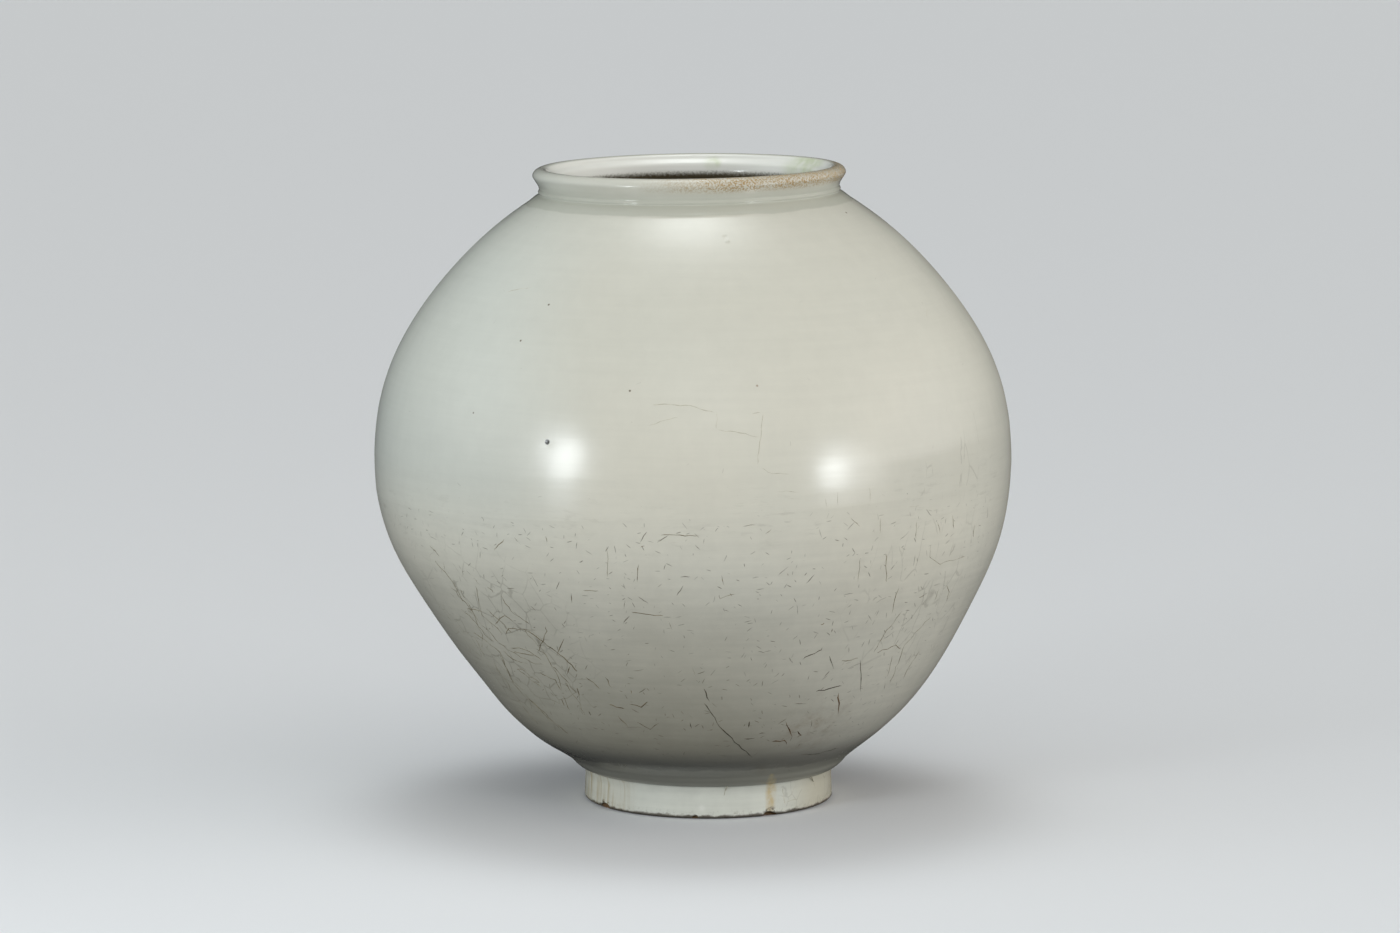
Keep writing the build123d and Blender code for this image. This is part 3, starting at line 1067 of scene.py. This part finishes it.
# Patches of soft noise: scale, detail and roughness, then a step's values and strengths. Lines stretch them
SEAM_PATCHES = (21.0, 3.0), (0.4, 0.62, 0.2, 1.0)
SMEARS = (1.0, 3.0, 0.65), (0.52, 0.72)
SMEAR_LINES = (70.0, 70.0, 320.0)
DRIP_PATCHES = (230.0, 3.0), (0.3, 0.62, 0.3, 0.9)
LOWER_FADE = (120.0, 2.0), (0.36, 0.56, 0.5, 1.0)
UPPER_FADE = (120.0, 2.0), (0.36, 0.56, 0.35, 1.0)
RUST_CLOUD = (110.0, 4.0, 0.7), (0.42, 0.8, 0.0, 0.34)
WORN_PATCHES = (60.0, 2.0), (0.3, 0.55, 0.65, 1.0)
POOL_PATCHES = (55.0, 3.0), (0.34, 0.54, 0.3, 1.0)
FOOT_STREAKS = (1.0, 3.0, 0.6), (0.44, 0.66, 0.18, 0.8)
FOOT_STREAK_LINES = (330.0, 330.0, 20.0)
CHIP_PATCHES = (330.0, 2.0), (0.42, 0.56)
STAIN_PATCHES = (230.0, 3.0), (0.38, 0.62)

# Uneven edges: scale, detail and roughness of the noise, and its middle and amount or its amount alone
HEEL_EDGE = (70.0, 2.0)
HEEL_EDGE_RISE = 0.006
COLLAR_EDGE = (45.0, 2.0)
COLLAR_SWING = (0.5, 0.003)
SOOT_AND_SHADE_EDGE = (620.0, 3.0, 0.7)
SOOT_AND_SHADE_SWING = (0.5, 0.0045)
FOOT_EDGE = (150.0, 3.0, 0.6)
FOOT_EDGE_RISE = 0.004

# Zones on the jar, in metres: from, to, and the strengths there if they aren't none and full
BELOW_SEAM = (0.222, 0.2)
ABOVE_HEEL = (0.029, 0.036)
BACK_ZONE = (-0.02, 0.05, 0.0, 0.5)
BACK_LOW = (0.2, 0.13)
HEEL_LINE = (0.0387, 0.0369)
HEEL_START = (0.0213, 0.0217)
HEEL_SHADE_SIDE = (0.0, 0.06, 0.55, 0.95)
FOOT_LEFT = (-0.044, -0.062)
FOOT_BACK = (0.01, 0.04)
FOOT_RIGHT = (0.046, 0.07, 0.0, 0.45)
FOOT_NET_SIDE = (0.042, 0.05)
FOOT_WORN_AND_SHADOW = (0.0012, -0.0002)
FOOT_SOILED = (0.007, 0.001)
CLAY_SOILED_AND_SHADOW = (0.003, 0.0012, 0.0, 0.85)

# Zones of the mouth rim, in metres from its axis, above its foot, or across and back
LIP_OUT = (0.0915, 0.0945)
LIP_RISE = (0.0062, 0.0105)
LIP_SIDE = (-0.055, 0.02)
LIP_FRONT = (0.035, 0.0)
THROAT_OUT = (0.0935, 0.0915)
COLLAR_FROM = (-0.0064, -0.0054)
COLLAR_TO = (0.009, 0.003)
SOOT_AND_SHADE_RISE = (0.0068, 0.0026)

# The inside and the bare clay
RIB_LINES = (3.0, 3.0, 170.0)
RIB_NOISE = (1.0, 2.0)
RIB_BROWN_AND_SHADE = (0.3, 0.7, 0.78, 0.95)
RIB_HEIGHT = 1.2
RIB_RELIEF = (0.6, 0.0012)
GRAIN_NOISE = (700.0, 4.0, 0.7)
GRAIN_DARK = (0.52, 0.66, 0.0, 0.7)
GRAIN_ROUGH = (0.3, 0.7, 0.7, 0.95)
GRAIN_RELIEF = (0.5, 0.0008)
BLOTCH_NOISE = (60.0, 3.0)
BLOTCH_BROWN = (0.35, 0.65)
BLOTCH_CHIP = (0.3, 0.6, 0.5, 0.95)
STAIN_ROUGH = (0.0, 1.0, 0.35, 0.6)
STAIN_RELIEF = (0.1, 0.0001)
SOILED_ROUGH = 0.4


def shaken(tree, point):
    """The place, moved a little, so that lines waver as a hand or a crack does."""
    shift = arrows(tree, "ADD", waver(tree, point, *WIDE_WAVER), waver(tree, point, *FINE_WAVER))
    return arrows(tree, "ADD", point, shift)


def at_pixel(tree, point, pixel, reach, core):
    """A soft patch round a pixel of the photograph, reach in mm."""
    return use(tree, near, Point=point, Place=pixel_spot(*pixel)[0], Reach=reach * MM, Core=core)


def white_base(tree, point):
    """The glaze's own colour, roughness and height."""
    node = tree.nodes.new("ShaderNodeGroup")
    node.node_tree = fired_white
    tree.links.new(point, node.inputs["Point"])
    return node.outputs["Color"], node.outputs["Rough"], node.outputs["Height"]


def dress(tree, shader, colour, rough, height, strength=0.35, depth=0.0006):
    """Links a finish to its shader."""
    tree.links.new(colour, shader.inputs["Base Color"])
    tree.links.new(rough, shader.inputs["Roughness"])
    bump = put(tree, "Bump", {"Height": height, "Strength": strength, "Distance": depth})
    tree.links.new(bump, shader.inputs["Normal"])
    shader.inputs["IOR"].default_value = GLAZE_IOR
    shader.inputs["Specular IOR Level"].default_value = GLAZE_SHEEN


def seam_dirt(tree, point):
    """Sparse specks and faint smears caught along the luted seam."""
    zone = use(tree, band, Point=point, **SEAM_DIRT)
    loose = use(tree, specks, Point=shaken(tree, point), **SEAM_SPECKS)
    smears = patchy(tree, drawn(tree, point, SMEAR_LINES), *SMEARS)
    dirt = most(tree, times(tree, loose, SEAM_SPECK_SHARE), times(tree, smears, SMEAR_SHARE))
    return times(tree, zone, patchy(tree, point, *SEAM_PATCHES), dirt)


def old_spots(tree, point):
    """Iron spots all over the glaze."""
    small = use(tree, specks, Point=point, **SMALL_SPOTS)
    large = use(tree, specks, Point=point, **LARGE_SPOTS)
    return most(tree, times(tree, small, SMALL_SPOT_SHARE), times(tree, large, LARGE_SPOT_SHARE))


def drip(tree, point):
    """The yellow run of stain down the heel and the foot."""
    place, _ = pixel_spot(*DRIP_MIDDLE)
    moved = arrows(tree, "ADD", point, waver(tree, point, *DRIP_WAVER))
    run = use(tree, hairline, Point=moved, Middle=place, **DRIP_RUN)
    return times(tree, run, patchy(tree, point, *DRIP_PATCHES))


def chips(tree, point):
    """Round the chips in the foot's edge."""
    return most(tree, *[at_pixel(tree, point, pixel, reach, CHIP_CORE) for pixel, reach in FOOT_CHIPS])


def lower_glaze_skin():
    """The lower bowl's glaze: greyer, scratched and stained, with a heel band that is partly painted shade.
    """
    material, tree, shader, point, facing = new_material("lower_glaze_skin")
    colour, rough, height = white_base(tree, point)
    x, y, z = parts_of(tree, point)
    loose = shaken(tree, point)
    coarse = use(tree, dashes, Point=loose, Facing=facing, **COARSE_DASHES)
    fine = use(tree, dashes, Point=loose, Facing=facing, **FINE_DASHES)
    scratches = most(tree, times(tree, coarse, COARSE_SHARE), times(tree, fine, FINE_SHARE))
    body = times(tree, between(tree, z, *BELOW_SEAM), between(tree, z, *ABOVE_HEEL))
    slant = use(tree, crackle, Point=loose, **SLANT_NET)
    upright = use(tree, crackle, Point=loose, **UPRIGHT_NET)
    unseen = times(tree, between(tree, y, *BACK_ZONE), between(tree, z, *BACK_LOW))
    left_net = times(tree, slant, most(tree, at_pixel(tree, point, *LEFT_NET), unseen), LEFT_NET_SHARE)
    right_net = times(tree, upright, at_pixel(tree, point, *RIGHT_NET), RIGHT_NET_SHARE)
    lines = most(tree, left_net, right_net, times(tree, scratches, body))
    lines = times(tree, lines, patchy(tree, point, *LOWER_FADE))
    # Partly real and partly painted shade: a darker band with a wavy upper edge over the heel, which faces
    # down, darker on the left and middle than on the lit right side
    uneven = plus(tree, z, times(tree, cloudy(tree, point, *HEEL_EDGE), HEEL_EDGE_RISE))
    heel = times(tree, between(tree, uneven, *HEEL_LINE), between(tree, z, *HEEL_START))
    colour = mixed(tree, times(tree, heel, between(tree, x, *HEEL_SHADE_SIDE)), colour, HEEL_GREY_AND_SHADE)
    rust = times(tree, at_pixel(tree, point, *RUST_STAIN), patchy(tree, point, *RUST_CLOUD))
    colour = mixed(tree, rust, colour, RUST_BROWN)
    colour = mixed(tree, drip(tree, point), colour, DRIP_OCHRE)
    colour = mixed(tree, seam_dirt(tree, point), colour, SPECK_BROWN)
    colour = mixed(tree, lines, colour, CRACK_BROWN)
    colour = mixed(tree, old_spots(tree, point), colour, SPECK_BROWN)
    rough = plus(tree, rough, times(tree, lines, LINE_ROUGH), clamp=True)
    dress(tree, shader, colour, rough, height)
    return material


def rim_places(tree, point):
    """How far a point is from the mouth's axis, and how high above the rim's foot."""
    middle = (RIM_MIDDLE[0] * MM, 0, RIM_MIDDLE[1] * MM)
    away = arrows(tree, "SUBTRACT", point, middle)
    out = arrows(tree, "LENGTH", drawn(tree, away, (1, 1, 0)))
    rise = arrows(tree, "DOT_PRODUCT", away, RIM_FACING)
    return out, rise


def upper_glaze_skin():
    """The upper bowl's glaze, with the worn lip and the pools inside it, painted shadow and reflection on the
    collar under the lip, a throat painted brighter as painted light, and a lower throat in dark brown that is
    partly stain and partly painted shade.
    """
    material, tree, shader, point, facing = new_material("upper_glaze_skin")
    colour, rough, height = white_base(tree, point)
    x, y, _ = parts_of(tree, point)
    loose = shaken(tree, point)
    few = times(tree, use(tree, dashes, Point=loose, Facing=facing, **FEW_DASHES), FEW_SHARE)
    upright = use(tree, crackle, Point=loose, **SEAM_NET)
    right_net = times(tree, at_pixel(tree, point, *RIGHT_SEAM), upright, RIGHT_NET_SHARE)
    lines = times(tree, most(tree, few, right_net), patchy(tree, point, *UPPER_FADE))
    out, rise = rim_places(tree, point)
    lip = times(tree, between(tree, out, *LIP_OUT), between(tree, rise, *LIP_RISE))
    worn = times(tree, lip, between(tree, x, *LIP_SIDE), between(tree, y, *LIP_FRONT))
    grains = times(tree, use(tree, grit, Point=point, **LIP_GRIT), WORN_GRAINS)
    worn = times(tree, worn, plus(tree, WORN_LEAST, grains), patchy(tree, point, *WORN_PATCHES))
    throat = between(tree, out, *THROAT_OUT)
    # Painted shadow and reflection: a darker greenish band on the collar just under the lip, where the lip
    # shades it and is mirrored in it
    edge = plus(tree, rise, swing(tree, cloudy(tree, point, *COLLAR_EDGE), *COLLAR_SWING))
    collar_shade = times(tree, between(tree, edge, *COLLAR_FROM), between(tree, edge, *COLLAR_TO), COLLAR_SHADE_SHARE)
    colour = mixed(tree, collar_shade, colour, COLLAR_SHADE_GREEN)
    # Painted light: the inside of the rim is painted a brighter white, standing in for the top light on it
    colour = mixed(tree, throat, colour, THROAT_LIT_WHITE)
    pools = most(tree, *[at_pixel(tree, loose, pixel, reach, POOL_CORE) for pixel, reach in GREEN_POOLS])
    pools = times(tree, pools, throat, patchy(tree, point, *POOL_PATCHES))
    colour = mixed(tree, pools, colour, POOL_GREEN)
    # Partly stain and partly painted shade: the lower throat turns dark brown below a ragged edge, for a
    # brown stain and for the shade of the dark inside
    ragged = plus(tree, rise, swing(tree, cloudy(tree, point, *SOOT_AND_SHADE_EDGE), *SOOT_AND_SHADE_SWING))
    colour = mixed(tree, times(tree, throat, between(tree, ragged, *SOOT_AND_SHADE_RISE)), colour, INNER_BROWN_AND_SHADE)
    colour = mixed(tree, worn, colour, LIP_OCHRE)
    colour = mixed(tree, seam_dirt(tree, point), colour, SPECK_BROWN)
    colour = mixed(tree, lines, colour, CRACK_BROWN)
    seen_specks = [at_pixel(tree, point, pixel, *DARK_SPECK) for pixel in DARK_SPECKS]
    colour = mixed(tree, most(tree, old_spots(tree, point), *seen_specks), colour, SPECK_BROWN)
    colour = mixed(tree, at_pixel(tree, point, *DARK_PIT), colour, PIT_BLACK)
    colour = mixed(tree, times(tree, at_pixel(tree, point, *ORANGE_SPOT), ORANGE_SHARE), colour, RUST_BROWN)
    rough = plus(tree, rough, times(tree, most(tree, lines, worn), LINE_ROUGH), clamp=True)
    dress(tree, shader, colour, rough, height)
    return material


def inner_glaze_skin():
    """The glaze inside: thin, stained brown and darkened nearly all over as painted shade, and left with
    rings by the potter's rib.
    """
    material, tree, shader, point, _ = new_material("inner_glaze_skin")
    colour, rough, height = white_base(tree, point)
    rings = cloudy(tree, drawn(tree, point, RIB_LINES), *RIB_NOISE)
    # Stain and painted shade: the rings mix most of the inside to the dark brown
    colour = mixed(tree, between(tree, rings, *RIB_BROWN_AND_SHADE), colour, INNER_BROWN_AND_SHADE)
    height = plus(tree, height, times(tree, rings, RIB_HEIGHT))
    dress(tree, shader, colour, rough, height, *RIB_RELIEF)
    return material


def foot_glaze_skin():
    """The glaze of the foot: creamy, stained at both ends and at the back, and bare along its edge, darkened
    there partly as painted shadow.
    """
    material, tree, shader, point, _ = new_material("foot_glaze_skin")
    colour, rough, height = white_base(tree, point)
    x, y, z = parts_of(tree, point)
    worst = most(tree, between(tree, x, *FOOT_LEFT), between(tree, y, *FOOT_BACK))
    streaks = patchy(tree, drawn(tree, point, FOOT_STREAK_LINES), *FOOT_STREAKS)
    colour = mixed(tree, times(tree, worst, streaks), colour, FOOT_STAIN)
    colour = mixed(tree, between(tree, x, *FOOT_RIGHT), colour, FOOT_STAIN)
    colour = mixed(tree, drip(tree, point), colour, DRIP_OCHRE)
    net = use(tree, crackle, Point=shaken(tree, point), **FOOT_NET)
    net = times(tree, net, between(tree, x, *FOOT_NET_SIDE), FOOT_NET_SHARE)
    colour = mixed(tree, net, colour, CRACK_BROWN)
    # Partly real and partly painted shadow: the bottom edge turns near black, for bare soiled clay and for
    # the shadow where the foot meets the floor
    ragged = times(tree, cloudy(tree, point, *FOOT_EDGE), FOOT_EDGE_RISE)
    edge = between(tree, sums(tree, "SUBTRACT", z, ragged), *FOOT_WORN_AND_SHADOW)
    grains = use(tree, grit, Point=point, **FOOT_GRIT)
    soiled = times(tree, grains, between(tree, z, *FOOT_SOILED), SOILED_SHARE)
    chipped = times(tree, chips(tree, point), patchy(tree, point, *CHIP_PATCHES), CHIPPED_SHARE)
    colour = mixed(tree, soiled, colour, SPECK_BROWN)
    colour = mixed(tree, most(tree, times(tree, edge, EDGE_SHARE), chipped), colour, EDGE_BROWN)
    colour = mixed(tree, times(tree, at_pixel(tree, point, *PALE_SMEAR), PALE_SHARE), colour, SMEAR_WHITE)
    rough = plus(tree, rough, times(tree, most(tree, edge, soiled), SOILED_ROUGH), clamp=True)
    dress(tree, shader, colour, rough, height)
    return material


def bare_clay_skin():
    """Fired clay without glaze: sandy, soiled and darkened with painted shadow where it stands, and rusty
    where it is chipped.
    """
    material, tree, shader, point, _ = new_material("bare_clay_skin")
    _, _, z = parts_of(tree, point)
    grain = cloudy(tree, point, *GRAIN_NOISE)
    blotch = cloudy(tree, point, *BLOTCH_NOISE)
    colour = mixed(tree, between(tree, blotch, *BLOTCH_BROWN), CLAY_BUFF, CLAY_BROWN)
    colour = mixed(tree, between(tree, grain, *GRAIN_DARK), colour, SPECK_BROWN)
    # Partly real and partly painted shadow: the clay darkens where it stands, soiled and shaded by the floor
    colour = mixed(tree, between(tree, z, *CLAY_SOILED_AND_SHADOW), colour, EDGE_BROWN)
    chipped = times(tree, chips(tree, point), between(tree, blotch, *BLOTCH_CHIP))
    colour = mixed(tree, chipped, colour, CHIP_BROWN)
    rough = between(tree, grain, *GRAIN_ROUGH)
    dress(tree, shader, colour, rough, grain, *GRAIN_RELIEF)
    return material


def crack_skin(name, light, dark):
    """The stain in a crack, paler in places."""
    material, tree, shader, point, _ = new_material(name)
    tone = patchy(tree, point, *STAIN_PATCHES)
    rough = between(tree, tone, *STAIN_ROUGH)
    dress(tree, shader, mixed(tree, tone, light, dark), rough, tone, *STAIN_RELIEF)
    return material


# Cracks that follow the photograph

dressed = BVHTree.FromPolygons(*merged([foot_glaze, lower_glaze, upper_glaze]))


def walk(run):
    """Pixels along a crack, close together, each a little off the straight line."""
    spots = []
    for (x0, y0), (x1, y1) in zip(run, run[1:]):
        length = math.hypot(x1 - x0, y1 - y0)
        count = max(2, round(length / CRACK_STEP))
        for k in range(count):
            t = k / count
            off = hand.uniform(-CRACK_WANDER, CRACK_WANDER) / length
            spots.append((x0 + (x1 - x0) * t - (y1 - y0) * off, y0 + (y1 - y0) * t + (x1 - x0) * off))
    return spots + [run[-1]]


def crack_lines(name, runs, half_width, material):
    """Stained cracks: fine threads sunk in the glaze, so that a sliver shows and thins out at its ends."""
    begin()
    thread = bpy.data.curves.new(name, "CURVE")
    thread.dimensions = "3D"
    thread.bevel_depth = half_width * CRACK_FULLNESS * MM
    thread.bevel_resolution = 1
    thread.use_fill_caps = True
    for run in runs:
        pixels = walk(run)
        spline = thread.splines.new("POLY")
        spline.points.add(len(pixels) - 1)
        for i, pixel in enumerate(pixels):
            place, facing, _, _ = dressed.ray_cast(EYE, pixel_ray(*pixel))
            ends = min(i, len(pixels) - 1 - i)
            spline.points[i].co = (*(place - facing * thread.bevel_depth * CRACK_SUNK), 1)
            spline.points[i].radius = CRACK_SUNK if ends == 0 else hand.uniform(*CRACK_SWELL)
    piece = bpy.data.objects.new(name, thread)
    bpy.context.scene.collection.objects.link(piece)
    bpy.context.view_layer.objects.active = piece
    piece.select_set(True)
    bpy.ops.object.convert(target="MESH")
    piece = bpy.context.object
    piece.name = piece.data.name = name
    seat(piece, "glazed_porcelain", material)


CRACK_STEP = 5.0
CRACK_WANDER = 0.8
CRACK_FULLNESS = 1.5
CRACK_SUNK = 0.74
CRACK_SWELL = (0.86, 1.05)

faint_stain = crack_skin("faint_stain", (0.32, 0.280, 0.190, 1), (0.165, 0.132, 0.072, 1))
brown_stain = crack_skin("brown_stain", (0.24, 0.195, 0.115, 1), (0.115, 0.083, 0.040, 1))
dark_stain = crack_skin("dark_stain", (0.12, 0.10, 0.065, 1), (0.045, 0.036, 0.022, 1))
rust_stain = crack_skin("rust_stain", (0.17, 0.095, 0.036, 1), (0.075, 0.038, 0.014, 1))
pale_stain = crack_skin("pale_stain", (0.54, 0.51, 0.41, 1), (0.40, 0.37, 0.28, 1))

seat(foot_glaze, "foot_porcelain", foot_glaze_skin())
seat(lower_glaze, "glazed_porcelain", lower_glaze_skin())
seat(upper_glaze, "glazed_porcelain", upper_glaze_skin())
inner_skin = inner_glaze_skin()
seat(inner_glaze, "glazed_porcelain", inner_skin)
seat(well_glaze, "foot_porcelain", inner_skin)
bare_clay = bare_clay_skin()
seat(foot_body, "foot_porcelain", bare_clay, "foot_ring")
seat(lower_body, "glazed_porcelain", bare_clay, "lower_bowl")
for node in nodes.values():
    node.data.materials.clear()
    node.data.materials.append(bare_clay)

# Cracks and scratches: name of the piece, runs, half their width in mm, and stain
FAINT_NET = LOWER_LEFT_NET + LOWER_LEFT_FINE + LOWER_RIGHT_NET + LOWER_MIDDLE_FAINT
CRACKS = (
    ("crackle_net", FAINT_NET, 0.32, faint_stain),
    ("crack_marks", LOWER_LEFT_CRACKS + LOWER_MIDDLE_CRACKS, 0.42, brown_stain),
    ("long_scratches", LONG_SCRATCHES, 0.45, dark_stain),
    ("rust_marks", RUST_MARKS, 0.6, rust_stain),
    ("upper_cracks", UPPER_CRACKS + SEAM_CRACKS + FOOT_CRACKS, 0.25, pale_stain),
)
for crack in CRACKS:
    crack_lines(*crack)

# Floor, light and camera

FLOOR_PALE = (0.76, 0.77, 0.79, 1)
FLOOR_DIM = (0.05, 0.05, 0.055, 1)
FLOOR_SIZE = 60
FLOOR_PLACE = (0, 10, 0)
PAPER_ROUGH = 0.9
PAPER_SHEEN = 0.1

begin()
bpy.ops.mesh.primitive_plane_add(size=FLOOR_SIZE, location=FLOOR_PLACE)
floor = bpy.context.object
floor.name = "floor"
paper = bpy.data.materials.new("pale_paper")
paper.use_nodes = True
tree = paper.node_tree
skin = tree.nodes["Principled BSDF"]
skin.inputs["Roughness"].default_value = PAPER_ROUGH
skin.inputs["Specular IOR Level"].default_value = PAPER_SHEEN
seen = put(tree, "LightPath", out="Is Camera Ray")
tree.links.new(mixed(tree, seen, FLOOR_DIM, FLOOR_PALE), skin.inputs["Base Color"])
floor.data.materials.append(paper)

LAMP_AIM = Vector((-0.01, 0, 0.24))


def heading(turn, lift):
    """A direction: turn is counted from the viewer's side, to the right."""
    a, e = math.radians(turn), math.radians(lift)
    return (math.sin(a) * math.cos(e), -math.cos(a) * math.cos(e), math.sin(e))


def softbox(name, turn, lift, distance, width, height, power, tone):
    """A soft lamp that faces the jar."""
    begin()
    way = Vector(heading(turn, lift))
    bpy.ops.object.light_add(type="AREA", location=LAMP_AIM + way * distance)
    lamp = bpy.context.object
    lamp.name = name
    lamp.rotation_euler = (-way).to_track_quat("-Z", "Y").to_euler()
    lamp.data.shape = "ELLIPSE"
    lamp.data.size = width
    lamp.data.size_y = height
    lamp.data.energy = power
    lamp.data.color = tone


# Soft lamps: name, turn, lift, distance, width, height, power and tone
LAMPS = (
    ("left_softbox", -44.0, 6.0, 2.2, 0.44, 0.54, 9.8, (0.94, 0.98, 1.0)),
    ("left_glow", -45.5, 7.0, 2.25, 0.80, 0.95, 8.4, (0.88, 0.95, 1.0)),
    ("left_scrim", -51, 7.0, 2.3, 1.1, 1.2, 2.8, (0.88, 0.95, 1.0)),
    ("left_tail", -43.5, -6.5, 1.2, 0.24, 0.26, 0.55, (0.88, 0.95, 1.0)),
    ("right_softbox", 48.6, 0.9, 2.2, 0.34, 0.34, 5.6, (0.93, 0.98, 1.0)),
    ("right_glow", 49.5, 1.0, 2.25, 0.64, 0.66, 4.6, (0.86, 0.94, 1.0)),
    ("right_scrim", 57, -1.0, 2.3, 1.0, 0.7, 6.0, (1.0, 1.0, 0.98)),
)
for lamp in LAMPS:
    softbox(*lamp)

# Large soft scrims all round, as bright patches of the room: turn, lift, narrowness, strength and tone
SCRIMS = (
    (4, 34, 11.0, 1.26, (1.0, 0.970, 0.930)),
    (-80, 20, 11.0, 1.5, (0.95, 1.0, 1.0)),
    (82, 4, 5.5, 2.65, (1.0, 0.985, 0.955)),
    (180, 76, 40.0, 6.2, (0.96, 1.0, 1.0)),
    (-130, 58, 12.0, 0.62, (0.94, 1.0, 1.0)),
)
ROOM_DIM = (0.02, 0.02, 0.02)

world = bpy.data.worlds.new("studio")
bpy.context.scene.world = world
world.use_nodes = True
tree = world.node_tree
way = put(tree, "TexCoord", out="Generated")
room = ROOM_DIM
for turn, lift, narrow, strength, tone in SCRIMS:
    close = sums(tree, "SUBTRACT", arrows(tree, "DOT_PRODUCT", way, heading(turn, lift)), 1.0)
    glow = sums(tree, "EXPONENT", sums(tree, "MULTIPLY", close, narrow))
    room = arrows(tree, "ADD", longer(tree, tone, sums(tree, "MULTIPLY", glow, strength)), room)
tree.links.new(room, tree.nodes["Background"].inputs["Color"])

camera = bpy.data.cameras.new("camera")
camera.sensor_fit = "HORIZONTAL"
camera.sensor_width = SENSOR
camera.lens = FOCAL_PIXELS * SENSOR / PHOTO_WIDTH
view = bpy.data.objects.new("camera", camera)
bpy.context.scene.collection.objects.link(view)
view.location = EYE
view.rotation_euler = (math.pi / 2 - LOOK_DOWN, 0, 0)
bpy.context.scene.camera = view
bpy.context.scene.view_settings.view_transform = "Standard"
